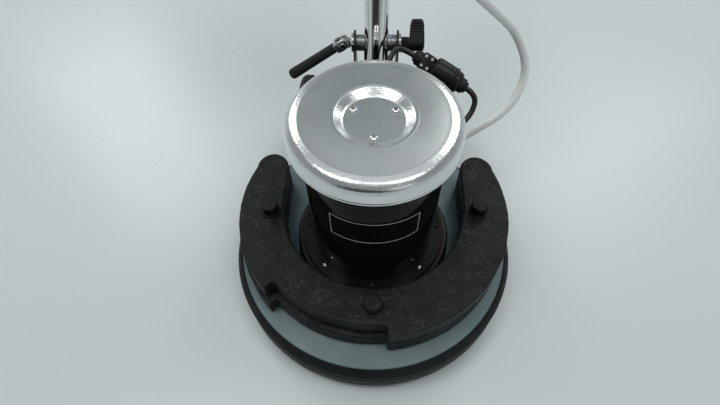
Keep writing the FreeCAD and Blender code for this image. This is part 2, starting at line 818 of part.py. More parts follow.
def wheel(side_name, side):
    """Moulded wheel centre and its rubber tyre."""
    half = dim("wheel_width") / 2
    bore = dim("axle_radius") + 0.05
    rim = dim("wheel_radius") - 15
    hub = new_body("wheel_hub_" + side_name)
    revolve(hub, [
        (bore, -half), (20, -half), (20, -5), (rim - 6, -5), (rim - 6, -half + 2), (rim, -half + 2),
        (rim, half - 2), (rim - 6, half - 2), (rim - 6, 5), (20, 5), (20, half), (bore, half)])
    spoke = circle(new_sketch(hub, "XY_Plane", 5), 37, 0, 9)
    around(hub, [pocket(hub, spoke, 10)], 6)
    stand_on(hub, dim("wheel_middle") * side, dim("axle_y"), dim("axle_z"), ALONG_X)
    tyre = new_body("tyre_" + side_name)
    outer = dim("wheel_radius")
    revolve(tyre, [
        (rim + 0.05, -half + 1), (outer - 5, -half + 1), (outer, -half + 6, 5), (outer, half - 6),
        (outer - 5, half - 1, 5), (rim + 0.05, half - 1)])
    stand_on(tyre, dim("wheel_middle") * side, dim("axle_y"), dim("axle_z"), ALONG_X)


# ---------------------------------------------------------------- tilting hub, clamp and release

def draw_bolt():
    """Bolt along the tilt axis with an eye for the cam lever at its left end."""
    body = new_body("draw_bolt")
    reach = RELEASE_START + 7
    neck = -40.4
    revolve(body, [(0, neck), (6, neck), (6, reach), (0, reach)])
    eye = new_sketch(body, "XZ_Plane", 0)
    outline(eye, [(-6.5, neck), (-6.5, -52), (0, -58.5, 6.5), (6.5, -52, 6.5), (6.5, neck)])
    pad(body, eye, 8, midplane=True)
    hole = circle(new_sketch(body, "XZ_Plane", 0), 0, -52, 3.05)
    pocket(body, hole, 10, midplane=True)
    stand_on(body, 0, dim("hub_y"), dim("hub_z"), ALONG_X)


def clamp_washers():
    """Two thick washers outside the side plates."""
    washers = []
    start = dim("plate_inside") + dim("plate_thick")
    for index, low in enumerate((start, -start - 3.5), 1):
        washer = cut("clamp_washer_%d" % index, cylinder("washer_outer_%d" % index, 14.5, 3.5),
                     cylinder("washer_bore_%d" % index, 6.1, 3.5))
        stand_on(washer, low, dim("hub_y"), dim("hub_z"), ALONG_X)
        washers.append(washer)
    group("clamp_washers", washers)


LEVER_DROP = 36


def clamp_lever():
    """Forked cam lever on a pin through the bolt's eye, and its rubber grip."""
    body = new_body("clamp_lever")
    fork = new_sketch(body, "XZ_Plane", 0)
    outline(fork, [(8, -8), (8, 8, 30), (-4, 9), (-14, 8), (-14, -8), (-4, -9)])
    pad(body, fork, 17, midplane=True)
    gap = rectangle(new_sketch(body, "XY_Plane", 12), -10, -4.3, 12, 4.3)
    pocket(body, gap, 24)
    stem = circle(new_sketch(body, "YZ_Plane", -100), 0, 0, 5)
    pad(body, stem, 88)
    pin = circle(new_sketch(body, "XZ_Plane", 0), 0, 0, 3)
    pad(body, pin, 17, midplane=True)
    grip = new_body("lever_grip")
    revolve(grip, [(5.05, 0), (7, 0), (7.5, 2), (8.7, 93), (6.5, 96, 3), (0, 96), (0, 86.1), (5.05, 86.1)])
    tilt = Rotation(Vector(0, 1, 0), -LEVER_DROP)
    stand_on(body, -52, dim("hub_y"), dim("hub_z"), tilt)
    pivot = Vector(-52, SIZES["hub_y"], SIZES["hub_z"])
    grip.Placement = Placement(pivot, tilt).multiply(
        Placement(Vector(-14.1, 0, 0), Rotation(Vector(0, 1, 0), -90)))


def release_box():
    """Square housing on the right end of the bolt."""
    body = new_body("release_box")
    section = new_sketch(body, "YZ_Plane", dim("plate_inside") + dim("plate_thick") + 3.6)
    rounded_rectangle(section, -9, -9, 9, 9, 2.5)
    circle(section, 0, 0, 6.02)
    pad(body, section, 12.4)
    stand_on(body, 0, dim("hub_y"), dim("hub_z"), Rotation(Vector(-1, 0, 0), 34))


RELEASE_START = 51


def release_lever():
    """Thumb lever that turns on the bolt's right end and frees the tilt."""
    body = new_body("release_lever")
    section = new_sketch(body, "YZ_Plane", RELEASE_START)
    outline(section, [(-12, 0), (0, -12, 12), (12, 0, 12), (9, 27), (0, 36, 9), (-9, 27, 9)])
    pad(body, section, 23)
    bore = circle(new_sketch(body, "YZ_Plane", RELEASE_START), 0, 0, 6.05)
    pocket(body, bore, 8, backwards=True)
    for step in range(3):
        height = 14 + 4 * step
        rib = rectangle(new_sketch(body, "YZ_Plane", RELEASE_START + 23), -14, height, -8.6, height + 2)
        pocket(body, rib, 23)
    stand_on(body, 0, dim("hub_y"), dim("hub_z"), Rotation(Vector(-1, 0, 0), 48))


# ---------------------------------------------------------------- pole and handle head

def pole():
    """Chromed tube with the cross hub welded through it near its lower end."""
    body = new_body("pole")
    outer = dim("pole_radius")
    inner = outer - dim("pole_wall")
    revolve(body, [(inner, dim("pole_low")), (outer, dim("pole_low")), (outer, dim("pole_high")),
                   (inner, dim("pole_high"))])
    hub = circle(new_sketch(body, "YZ_Plane", 0), 0, 0, 12.5)
    pad(body, hub, dim("plate_inside") * 2 - 0.6, midplane=True)
    bore = circle(new_sketch(body, "YZ_Plane", 0), 0, 0, 6.05)
    pocket(body, bore, dim("plate_inside") * 2 + 4, midplane=True)
    lean(body)


def pole_gland():
    """Rubber-lined gland that closes the pole's lower end and lets the lead out."""
    body = new_body("pole_gland")
    low = dim("pole_low")
    inner = dim("pole_radius") - dim("pole_wall") - 0.05
    lead = dim("lead_radius") + 0.05
    revolve(body, [(lead, low - 12), (8, low - 12), (11, low - 3), (dim("pole_radius"), low - 3),
                   (dim("pole_radius"), low - 0.1), (inner, low - 0.1), (inner, low + 10),
                   (lead, low + 10)])
    lean(body)


def water_tank():
    """Moulded solution tank that hangs on the front of the pole."""
    body = new_body("water_tank")
    low = dim("tank_low")
    high = dim("tank_high")
    front, back, half, corner = -172, -26, 125, 28
    outer = new_sketch(body, "XY_Plane", low)
    rounded_rectangle(outer, -half, front, half, back, corner)
    pad(body, outer, high - low)
    wall = 4
    inside = new_sketch(body, "XY_Plane", high - 4)
    rounded_rectangle(inside, -half + wall, front + wall, half - wall, back - wall, corner - wall)
    cavity = body.newObject("PartDesign::Pocket", "WaterTankCavity")
    cavity.Profile = inside
    bind(cavity, "Length", high - low - 8)
    doc.recompute()
    neck = circle(new_sketch(body, "XY_Plane", high - 2), 0, -100, 44)
    pad(body, neck, 20)
    mouth = circle(new_sketch(body, "XY_Plane", high + 18), 0, -100, 40)
    pocket(body, mouth, 24)
    outlet = circle(new_sketch(body, "XY_Plane", low + 5), 60, -99, 9)
    pocket(body, outlet, 8)
    for above in (40, 220):
        saddle = rectangle(new_sketch(body, "XY_Plane", low + above), -40, back - 1, 40, 24)
        pad(body, saddle, 22)
        grasp = circle(new_sketch(body, "XY_Plane", low + above + 22), 0, 0, dim("pole_radius") + 0.05)
        pocket(body, grasp, 22)
    lean(body)


def tank_cap():
    """Screw cap with a ribbed rim on the tank's neck."""
    body = new_body("tank_cap")
    low = dim("tank_high") + 2
    revolve(body, [(44.3, low), (50, low), (50, low + 18), (47, low + 21, 3), (0, low + 21),
                   (0, low + 16.6), (44.3, low + 16.6)])
    rib = circle(new_sketch(body, "XY_Plane", low), 50, 0, 2)
    around(body, [pad(body, rib, 17)], 18)
    lean(body)
    body.Placement = body.Placement.multiply(Placement(Vector(0, -100, 0), Rotation()))
    centre = leaning(0, -100, 0)
    for path in ("Placement.Base.y", "Placement.Base.z"):
        body.setExpression(path, None)
    body.Placement.Base = centre


def water_valve():
    """Valve under the tank with a hose barb, and its quarter-turn tap."""
    body = new_body("valve_body")
    low = dim("tank_low")
    top = low - 0.2
    revolve(body, [(0, top - 40), (6.4, top - 40), (6.9, top - 34), (6.4, top - 34), (6.4, top - 26),
                   (11, top - 24), (11, top - 6), (14, top - 6), (14, top), (0, top)])
    stem = circle(new_sketch(body, "XZ_Plane", 0), 0, top - 15, 6)
    pad(body, stem, 16)
    tap = new_body("valve_tap")
    lever = new_sketch(tap, "XZ_Plane", 16.3)
    outline(lever, [(-6, top - 15), (0, top - 21, 6), (30, top - 19), (34, top - 15, 4),
                    (30, top - 11, 4), (0, top - 9), ])
    pad(tap, lever, 5)
    for item in (body, tap):
        lean(item)
        shift = leaning(60, -99, 0)
        item.setExpression("Placement.Base.y", None)
        item.setExpression("Placement.Base.z", None)
        item.Placement.Base = shift


HEAD_HALF = 72
HEAD_DEEP = 28
MAINS_ENTRY = 45


def control_box():
    """Two-part moulded box at the top of the pole: body and front lid."""
    base = new_body("control_base")
    low, high = dim("head_low"), dim("head_high")
    outer = new_sketch(base, "XY_Plane", low)
    rounded_rectangle(outer, -HEAD_HALF, -HEAD_DEEP, HEAD_HALF, HEAD_DEEP, 10)
    pad(base, outer, high - low)
    inside = new_sketch(base, "XZ_Plane", HEAD_DEEP)
    rectangle(inside, -HEAD_HALF + 4, low + 4, HEAD_HALF - 4, high - 4)
    pocket(base, inside, 2 * HEAD_DEEP - 4)
    entry = circle(new_sketch(base, "XY_Plane", low + 4), 0, 0, dim("pole_radius") + 0.05)
    pocket(base, entry, 6)
    bar_holes = circle(new_sketch(base, "YZ_Plane", 0), 0, dim("bar_height"), dim("bar_radius") + 0.05)
    pocket(base, bar_holes, 4 * HEAD_HALF, midplane=True)
    pins = circle(new_sketch(base, "YZ_Plane", 0), -18, low + 22, 4.05)
    pocket(base, pins, 4 * HEAD_HALF, midplane=True)
    button = circle(new_sketch(base, "XY_Plane", high), 0, 0, 9.05)
    pocket(base, button, 6)
    inlet = circle(new_sketch(base, "XZ_Plane", -HEAD_DEEP - 14), MAINS_ENTRY, low + 25, 11)
    pad(base, inlet, 15)
    cable_way = circle(new_sketch(base, "XZ_Plane", -HEAD_DEEP - 14), MAINS_ENTRY, low + 25, 5)
    pocket(base, cable_way, 20, backwards=True)
    lid = new_body("control_lid")
    face = new_sketch(lid, "XZ_Plane", HEAD_DEEP + 0.1)
    rounded_rectangle(face, -HEAD_HALF, low, HEAD_HALF, high, 10)
    pad(lid, face, 10)
    for item in (base, lid):
        lean(item)


def handlebar():
    """Cross bar through the control box, and the two rubber grips on it."""
    reach = 225
    bar = new_body("handlebar")
    section = new_sketch(bar, "YZ_Plane", 0)
    circle(section, 0, dim("bar_height"), dim("bar_radius"))
    circle(section, 0, dim("bar_height"), dim("bar_radius") - 2)
    pad(bar, section, 2 * reach, midplane=True)
    lean(bar)
    grips = new_body("handle_grips")
    for start in (95, -95 - (reach - 90)):
        tube = new_sketch(grips, "YZ_Plane", start)
        circle(tube, 0, dim("bar_height"), 17)
        circle(tube, 0, dim("bar_height"), dim("bar_radius") + 0.02)
        pad(grips, tube, reach - 90)
    lean(grips)


def switch_lever(side_name, side):
    """Squeeze lever under one grip, pinned into the side of the control box."""
    body = new_body("switch_lever_" + side_name)
    low = dim("head_low") + 22
    near, far = (HEAD_HALF + 1, 205) if side > 0 else (-205, -HEAD_HALF - 1)
    arm_start = HEAD_HALF + 1 if side > 0 else -HEAD_HALF - 11
    arm = new_sketch(body, "YZ_Plane", arm_start)
    outline(arm, [(-25, low), (-18, low - 7, 7), (-11, low, 7), (-24, low + 52), (-34, low + 52)])
    pad(body, arm, 10)
    bar = new_sketch(body, "YZ_Plane", near)
    rounded_rectangle(bar, -36, low + 40, -27, low + 54, 3)
    pad(body, bar, far - near)
    pin = circle(new_sketch(body, "YZ_Plane", HEAD_HALF - 6 if side > 0 else -HEAD_HALF - 2), -18, low, 4)
    pad(body, pin, 8)
    lean(body)


def lock_button():
    """Safety button in the top of the control box."""
    body = new_body("lock_button")
    high = dim("head_high")
    revolve(body, [(0, high - 12), (12, high - 12), (12, high - 9), (9, high - 9), (9, high + 5),
                   (7, high + 7, 2), (0, high + 7)])
    lean(body)


# ---------------------------------------------------------------- power coupler, leads and hose

COUPLER_START = Vector(58, 190, 295)
COUPLER_AXIS = Vector(79, -44, -25).normalize()
COUPLER_TURN = Rotation(Vector(0, 0, 1), COUPLER_AXIS)
COUPLER_LENGTH = 94
GLAND_LENGTH = 12


def coupler():
    """In-line power coupler: socket half with its cord clamp, and the slimmer plug half."""
    socket = new_body("coupler_socket")
    joint = 68
    revolve(socket, [(0, GLAND_LENGTH), (12, GLAND_LENGTH), (13.5, GLAND_LENGTH + 1.5), (13.5, 33),
                     (17, 36), (18.5, 40), (18.5, joint), (0, joint)])
    plug = new_body("coupler_plug")
    end = COUPLER_LENGTH - GLAND_LENGTH - 0.1
    revolve(plug, [(0, joint + 0.1), (19.5, joint + 0.1), (19.5, joint + 3), (16.8, joint + 4),
                   (15.8, end - 3), (13, end), (0, end)])
    for item in (socket, plug):
        item.Placement = Placement(COUPLER_START, COUPLER_TURN)


def gland(index, base, outward):
    """A cable gland that stands on its base and points outward."""
    lower = cylinder("gland_lower_%d" % index, 11.5, 7)
    upper = doc.addObject("Part::Cone", "GlandUpper%d" % index)
    upper.Radius1 = 10.5
    upper.Radius2 = 7.5
    upper.Height = GLAND_LENGTH - 7
    upper.Placement = Placement(Vector(0, 0, 7), Rotation())
    bore = cylinder("gland_bore_%d" % index, dim("lead_radius") + 0.05, GLAND_LENGTH)
    item = cut("gland_%d" % index, fuse("gland_body_%d" % index, [lower, upper]), bore)
    item.Placement = Placement(base, Rotation(Vector(0, 0, 1), outward))
    return item


def cable_glands():
    """Three alike: both ends of the coupler and the side of the motor."""
    into_motor = LEAD_TO_MOTOR[-2] - LEAD_TO_MOTOR[-1]
    into_motor.normalize()
    group("cable_glands", [
        gland(1, COUPLER_START + COUPLER_AXIS * GLAND_LENGTH, -COUPLER_AXIS),
        gland(2, COUPLER_START + COUPLER_AXIS * (COUPLER_LENGTH - GLAND_LENGTH), COUPLER_AXIS),
        gland(3, LEAD_TO_MOTOR[-1] - into_motor * GLAND_LENGTH, into_motor)])


def tangent_route(points):
    """Straight runs with the largest tangent arc at each turn; returns the wire and its radii."""
    edges = []
    radii = []
    here = points[0]
    for index in range(1, len(points) - 1):
        before, corner, after = points[index - 1], points[index], points[index + 1]
        shorter = min((corner - before).Length, (after - corner).Length)
        inward = (before - corner).normalize()
        outward = (after - corner).normalize()
        turn = math.pi - inward.getAngle(outward)
        back = 0.45 * shorter
        radius = back / math.tan(turn / 2)
        start = corner + inward * back
        end = corner + outward * back
        bisector = (inward + outward).normalize()
        centre = corner + bisector * (radius / math.cos(turn / 2))
        middle = centre - bisector * radius
        edges.append(Part.LineSegment(here, start).toShape())
        edges.append(Part.Arc(start, middle, end).toShape())
        radii.append(radius)
        here = end
    edges.append(Part.LineSegment(here, points[-1]).toShape())
    return Part.Wire(edges), radii


def cord(name, points, radius, bore=0):
    """A round cord or hose along a route."""
    wire, radii = tangent_route(points)
    start = wire.Edges[0].valueAt(wire.Edges[0].FirstParameter)
    along = wire.Edges[0].tangentAt(wire.Edges[0].FirstParameter)
    shape = wire.makePipeShell([Part.Wire(Part.makeCircle(radius, start, along))], True, False)
    section = math.pi * radius * radius
    print("%s: length %.1f mm, radii %s" % (name, wire.Length, ", ".join("%.0f" % r for r in radii)))
    if abs(shape.Volume / (section * wire.Length) - 1) > 0.01:
        raise RuntimeError(name + ": the volume does not match section times length")
    solid(name, shape)
    return wire.Length


LEAD_TO_POLE = [leaning(0, 0, SIZES["pole_low"] - 12), leaning(0, 0, SIZES["pole_low"] - 34),
                Vector(4, 148, 189), Vector(10, 122, 202), Vector(14, 118, 236), Vector(14, 134, 266),
                Vector(15, 160, 291), Vector(26, 186, 309), COUPLER_START - COUPLER_AXIS * 20,
                COUPLER_START]
LEAD_TO_MOTOR = [COUPLER_START + COUPLER_AXIS * COUPLER_LENGTH, COUPLER_START + COUPLER_AXIS * 112,
                 Vector(148, 121, 244), Vector(128, 104, 231), Vector(106, 89, 218),
                 Vector(83.4, 70, 212.35)]
HOSE = [leaning(60, -99, SIZES["tank_low"] - 40.2), leaning(60, -99, SIZES["tank_low"] - 90),
        Vector(118, 186, 410), Vector(172, 226, 348), Vector(226, 256, 288), Vector(258, 238, 224),
        Vector(230, 196, 176), Vector(168, 177, 139), Vector(122, 158, 112), Vector(98, 146, 96)]


def cords():
    cord("lead_to_pole", LEAD_TO_POLE, SIZES["lead_radius"])
    cord("lead_to_motor", LEAD_TO_MOTOR, SIZES["lead_radius"])
    cord("hose", HOSE, SIZES["hose_radius"])


def hose_inlet():
    """Elbow that stands on the deck with its barb towards the hose."""
    outward = HOSE[-2] - HOSE[-1]
    outward.normalize()
    corner = HOSE[-1] - outward * 26
    barb = cylinder("inlet_barb", 6.6, 26)
    barb.Placement = Placement(corner, Rotation(Vector(0, 0, 1), outward))
    knuckle = doc.addObject("Part::Sphere", "InletKnuckle")
    knuckle.Radius = 9
    knuckle.Placement = Placement(corner, Rotation())
    foot = 70.8
    stem = cylinder("inlet_stem", 8, corner.z - foot)
    stand_on(stem, corner.x, corner.y, foot)
    nut = cylinder("inlet_nut", 12, 8)
    stand_on(nut, corner.x, corner.y, foot)
    keep("hose_inlet", fuse("hose_inlet", [barb, knuckle, stem, nut]))


def main():
    deck_housing()
    bumper()
    brush_block()
    bristles()
    brush_clutch()
    drive_clutch()
    ring_gear()
    planet_gears()
    planet_carrier()
    ball_bearings()
    motor_flange()
    flange_screws()
    motor_shell()
    name_plate()
    stator()
    motor_rotor()
    motor_shaft()
    upper_end_shield()
    fan_cover()
    cover_screws()
    counterweight("counterweight_lower", dim("weight_low"), 141.42)
    counterweight("counterweight_upper", dim("weight_low") + dim("weight_thick") + dim("weight_gap"), 142)
    weight_bolts()
    rear_frame()
    bracket_bolts()
    wheel_axle()
    axle_caps()
    wheel("left", -1)
    wheel("right", 1)
    draw_bolt()
    clamp_washers()
    clamp_lever()
    release_box()
    release_lever()
    pole()
    pole_gland()
    water_tank()
    tank_cap()
    water_valve()
    control_box()
    handlebar()
    switch_lever("left", -1)
    switch_lever("right", 1)
    lock_button()
    coupler()
    cords()
    cable_glands()
    hose_inlet()
    write_parts()


def write_parts():
    """Check every object and every sub-part, then write one file per sub-part."""
    doc.recompute()
    for item in doc.Objects:
        if "Invalid" in item.State or "Error" in item.State:
            raise RuntimeError("%s failed: %s" % (item.Label, item.State))
    for name, item in NODES.items():
        if item.Shape.isNull() or not item.Shape.isValid() or not item.Shape.Solids:
            raise RuntimeError("%s has no valid shape" % name)
    os.makedirs("parts", exist_ok=True)
    for name, item in NODES.items():
        item.Shape.exportStep(os.path.join("parts", name + ".step"))
    print("%d sub-parts written" % len(NODES))


main()
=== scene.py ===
"""Looks of the single-disc floor scrubber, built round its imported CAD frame. Metres, +Z up, -Y front."""

import json
import math

import bmesh
import bpy
from mathutils import Matrix, Vector, noise


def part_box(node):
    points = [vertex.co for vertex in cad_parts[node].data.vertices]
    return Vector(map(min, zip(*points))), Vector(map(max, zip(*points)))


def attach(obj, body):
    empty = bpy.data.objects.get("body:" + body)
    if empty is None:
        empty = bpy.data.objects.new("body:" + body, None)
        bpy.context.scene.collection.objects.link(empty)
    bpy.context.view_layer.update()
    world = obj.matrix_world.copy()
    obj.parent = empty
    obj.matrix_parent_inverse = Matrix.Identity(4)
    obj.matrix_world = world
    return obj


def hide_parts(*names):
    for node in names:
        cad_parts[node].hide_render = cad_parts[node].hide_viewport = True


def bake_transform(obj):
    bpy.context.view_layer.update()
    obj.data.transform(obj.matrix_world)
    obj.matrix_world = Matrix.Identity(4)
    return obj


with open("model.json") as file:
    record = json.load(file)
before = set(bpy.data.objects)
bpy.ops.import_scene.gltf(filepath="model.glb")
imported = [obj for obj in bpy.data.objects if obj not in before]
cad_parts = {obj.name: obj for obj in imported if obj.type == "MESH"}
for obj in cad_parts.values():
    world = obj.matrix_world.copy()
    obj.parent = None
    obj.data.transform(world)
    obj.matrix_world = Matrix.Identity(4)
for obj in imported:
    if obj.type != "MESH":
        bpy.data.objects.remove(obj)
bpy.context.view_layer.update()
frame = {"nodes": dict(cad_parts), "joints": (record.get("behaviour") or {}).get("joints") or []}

MM = 0.001
scene = bpy.context.scene
joints = {joint["name"]: joint for joint in frame["joints"]}
HUB = Vector(joints["handle_tilt"]["pos_m"])
ALONG_POLE = Vector(joints["tank_cap_lift"]["axis"])
LEAN = math.atan2(ALONG_POLE.y, ALONG_POLE.z)
POLE = Matrix.Translation(HUB) @ Matrix.Rotation(-LEAN, 4, "X")
ALONG_X = Matrix.Rotation(math.radians(90), 4, "Y")


def mm(x, y, z):
    return Vector((x, y, z)) * MM


def moved(x, y, z):
    return Matrix.Translation(mm(x, y, z))


def leaning(x, y, z):
    """A point given in the pole's own frame, in millimetres."""
    return POLE @ mm(x, y, z)


def extent(node, axis="z"):
    """A CAD node's lowest and highest coordinate along an axis, in millimetres."""
    return [getattr(corner, axis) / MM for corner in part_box(node)]


def turn_about(axis, degrees):
    return Matrix.Rotation(math.radians(degrees), 4, axis)


def at(place, direction):
    """A frame that stands at a place with its Z along a direction."""
    return Matrix.Translation(place) @ direction.to_track_quat("Z", "Y").to_matrix().to_4x4()


def linked(name, data):
    """A new object in the scene."""
    made = bpy.data.objects.new(name, data)
    scene.collection.objects.link(made)
    return made


def filled(ramp, stops):
    """The output of a colour ramp that is given stops of (value, colour)."""
    elements = ramp.color_ramp.elements
    while len(elements) < len(stops):
        elements.new(0.5)
    for element, (spot, colour) in zip(elements, stops):
        element.position = spot
        element.color = (*colour, 1)
    return ramp.outputs["Color"]


def add_node(tree, kind, inputs, **settings):
    """A node with some settings, whose inputs get either a value or another node's output."""
    node = tree.nodes.new(kind)
    for label, value in settings.items():
        setattr(node, label, value)
    for label, value in inputs.items():
        if isinstance(value, bpy.types.NodeSocket):
            tree.links.new(value, node.inputs[label])
        else:
            node.inputs[label].default_value = value
    return node


# ---- camera, light, floor

CAMERA_PLACE = Vector((0.0023, -0.3977, 0.7603))
CAMERA_PITCH, CAMERA_YAW, CAMERA_ROLL = 0.9737, -0.0556, -0.0270
LENS_MM, SENSOR_MM = 23.465, 36


def add_camera():
    """Looks down on the machine from the front; pitch is below the horizon, in radians."""
    data = bpy.data.cameras.new("Camera")
    data.lens = LENS_MM
    data.sensor_width = SENSOR_MM
    data.sensor_fit = "HORIZONTAL"
    data.clip_start = 0.01
    camera = linked("Camera", data)
    pitch, yaw, roll = CAMERA_PITCH, CAMERA_YAW, CAMERA_ROLL
    ahead = Vector((math.sin(yaw) * math.cos(pitch), math.cos(yaw) * math.cos(pitch), -math.sin(pitch)))
    level = Vector((math.cos(yaw), -math.sin(yaw), 0))
    above = level.cross(ahead)
    right = level * math.cos(roll) + above * math.sin(roll)
    up = -level * math.sin(roll) + above * math.cos(roll)
    turn = Matrix((right, up, -ahead)).transposed().to_4x4()
    camera.matrix_world = Matrix.Translation(CAMERA_PLACE) @ turn
    scene.camera = camera


AIM = Vector((0, 0, 0.2))
ROOM_STRENGTH = 0.76
DARK_PATCH = (-0.16, -0.985, 0.06)


def add_softbox(name, place, width, height, power, colour=(1, 1, 1)):
    """A rectangular light that points at the machine. Metres and watts."""
    data = bpy.data.lights.new(name, "AREA")
    data.shape = "RECTANGLE"
    data.size, data.size_y = width, height
    data.energy = power
    data.color = colour
    linked(name, data).matrix_world = at(place, Vector(place) - AIM)


def world_ramp(tree, source, stops):
    """Slightly cool grey levels along a value; stops are (value, level)."""
    ramp = add_node(tree, "ShaderNodeValToRGB", {"Fac": source})
    return filled(ramp, [(spot, (level * 0.97, level, level * 1.01)) for spot, level in stops])


def add_world():
    """A room that is bright at the horizon and overhead, and dark in a patch in front of the machine."""
    world = bpy.data.worlds.new("Studio")
    scene.world = world
    world.use_nodes = True
    tree = world.node_tree
    direction = add_node(tree, "ShaderNodeTexCoord", {}).outputs["Generated"]
    split = add_node(tree, "ShaderNodeSeparateXYZ", {0: direction})
    height = world_ramp(tree, split.outputs["Z"], [
        (0.0, 0.8), (0.06, 0.7), (0.2, 0.42), (0.5, 0.38), (0.64, 0.27), (0.73, 0.33), (0.84, 0.52),
        (1.0, 0.85)])
    toward = add_node(tree, "ShaderNodeVectorMath", {0: direction, 1: DARK_PATCH}, operation="DOT_PRODUCT")
    front = world_ramp(tree, toward.outputs["Value"], [
        (0.0, 1.0), (0.7, 0.95), (0.82, 0.8), (0.88, 0.16), (1.0, 0.1)])
    blend = add_node(tree, "ShaderNodeMix", {"Factor": 1.0, "A": height, "B": front}, data_type="RGBA",
                     blend_type="MULTIPLY")
    background = tree.nodes["Background"]
    tree.links.new(blend.outputs["Result"], background.inputs["Color"])
    background.inputs["Strength"].default_value = ROOM_STRENGTH


def add_studio():
    """Soft lights, the room, and a plain pale floor."""
    scene.view_settings.view_transform = "Standard"
    add_world()
    add_softbox("Window_back_left", (-1.75, 2.0, 1.95), 0.9, 1.5, 14, (0.95, 1.0, 0.99))
    add_softbox("Window_back_right", (1.45, 2.0, 2.2), 1.3, 1.6, 17, (0.97, 1.0, 0.99))
    add_softbox("Overhead_left", (-1.0, -0.2, 2.9), 0.8, 1.2, 15)
    add_softbox("Overhead_right", (0.85, -0.35, 2.9), 0.7, 1.1, 11)
    add_softbox("Front_fill", (1.6, -2.6, 2.2), 1.6, 1.0, 3)
    bpy.ops.mesh.primitive_plane_add(size=14, location=(0, 2.0, -0.0004))
    floor = bpy.context.object
    floor.name = "Studio_floor"
    pale = Finish("Pale_floor", (0.71, 0.765, 0.765), 0.3)
    pale.vary_roughness(900, 0.26, 0.34)
    floor.data.materials.append(pale.material)


# ---- materials

class Finish:
    """A procedural material: one Principled shader and the nodes that vary it over the surface."""

    def __init__(self, name, colour, roughness, metallic=0.0, **sockets):
        self.material = bpy.data.materials.new(name)
        self.material.use_nodes = True
        self.tree = self.material.node_tree
        self.shader = self.tree.nodes["Principled BSDF"]
        self.shader.inputs["Base Color"].default_value = (*colour, 1)
        self.shader.inputs["Roughness"].default_value = roughness
        self.shader.inputs["Metallic"].default_value = metallic
        for label, value in sockets.items():
            self.shader.inputs[label.replace("_", " ")].default_value = value
        self.coords = self.add("ShaderNodeTexCoord", {}).outputs["Object"]
        self.normal = None

    def add(self, kind, inputs, **settings):
        return add_node(self.tree, kind, inputs, **settings)

    def noise(self, size, detail=3.0, stretch=(1, 1, 1), rough=0.5):
        """Cloudy noise whose patches are about size millimetres across."""
        place = self.coords
        if stretch != (1, 1, 1):
            place = self.add("ShaderNodeMapping", {"Vector": place, "Scale": stretch}).outputs["Vector"]
        return self.add("ShaderNodeTexNoise", {
            "Vector": place, "Scale": 1 / (size * MM), "Detail": detail, "Roughness": rough,
        }).outputs["Fac"]

    def cells(self, size):
        """Distance to the nearest of points that are about size millimetres apart."""
        inputs = {"Vector": self.coords, "Scale": 1 / (size * MM)}
        return self.add("ShaderNodeTexVoronoi", inputs).outputs["Distance"]

    def spread(self, source, start, end, low, high):
        """Low to high as a value passes from start to end, and no further."""
        return self.add("ShaderNodeMapRange", {
            "Value": source, "From Min": start, "From Max": end, "To Min": low, "To Max": high,
        }).outputs["Result"]

    def tint(self, source, *stops):
        """Colours along a value: stops are (value, colour)."""
        return filled(self.add("ShaderNodeValToRGB", {"Fac": source}), stops)

    def colour(self, socket):
        self.tree.links.new(socket, self.shader.inputs["Base Color"])

    def roughness(self, socket):
        self.tree.links.new(socket, self.shader.inputs["Roughness"])

    def vary_colour(self, size, dark, light):
        self.colour(self.tint(self.noise(size, 4), (0.3, dark), (0.7, light)))

    def vary_roughness(self, size, low, high):
        self.roughness(self.cloud(size, 4, low, high))

    def cloud(self, size, detail, low, high):
        """Noise spread from low to high over the middle of its range."""
        return self.spread(self.noise(size, detail), 0.3, 0.7, low, high)

    def bump(self, source, depth, strength=1.0):
        """Adds relief of depth millimetres, over any that is there."""
        inputs = {"Height": source, "Distance": depth * MM, "Strength": strength}
        if self.normal:
            inputs["Normal"] = self.normal
        self.normal = self.add("ShaderNodeBump", inputs).outputs["Normal"]
        self.tree.links.new(self.normal, self.shader.inputs["Normal"])
        return self

    def beyond(self, start, end):
        """0 to 1 as the distance from the motor's axis passes from start to end, in millimetres."""
        split = self.add("ShaderNodeSeparateXYZ", {"Vector": self.coords}).outputs
        flat = self.add("ShaderNodeCombineXYZ", {"X": split["X"], "Y": split["Y"]}).outputs[0]
        reach = self.add("ShaderNodeVectorMath", {0: flat}, operation="LENGTH").outputs["Value"]
        return self.spread(reach, start * MM, end * MM, 0.0, 1.0)

    def combine(self, operation, first, second):
        return self.add("ShaderNodeMath", {0: first, 1: second}, operation=operation).outputs[0]


def steel(name, shade, roughness, grain=(1, 1, 1), grain_size=2.0, depth=0.01):
    """Bare or plated metal with a faint grain."""
    made = Finish(name, shade, roughness, 1.0)
    made.vary_colour(30, tuple(v * 0.86 for v in shade), shade)
    made.vary_roughness(9, roughness * 0.75, roughness * 1.4)
    return made.bump(made.noise(grain_size, 3, grain), depth)


def moulded(name, shade, roughness, grain=0.5, depth=0.03, specular=0.5):
    """Moulded plastic or rubber with a fine spark-eroded texture."""
    made = Finish(name, shade, roughness, Specular_IOR_Level=specular)
    made.vary_colour(40, tuple(v * 0.8 for v in shade), tuple(v * 1.2 for v in shade))
    made.vary_roughness(14, roughness * 0.85, roughness * 1.12)
    return made.bump(made.noise(grain, 2), depth, 0.6)


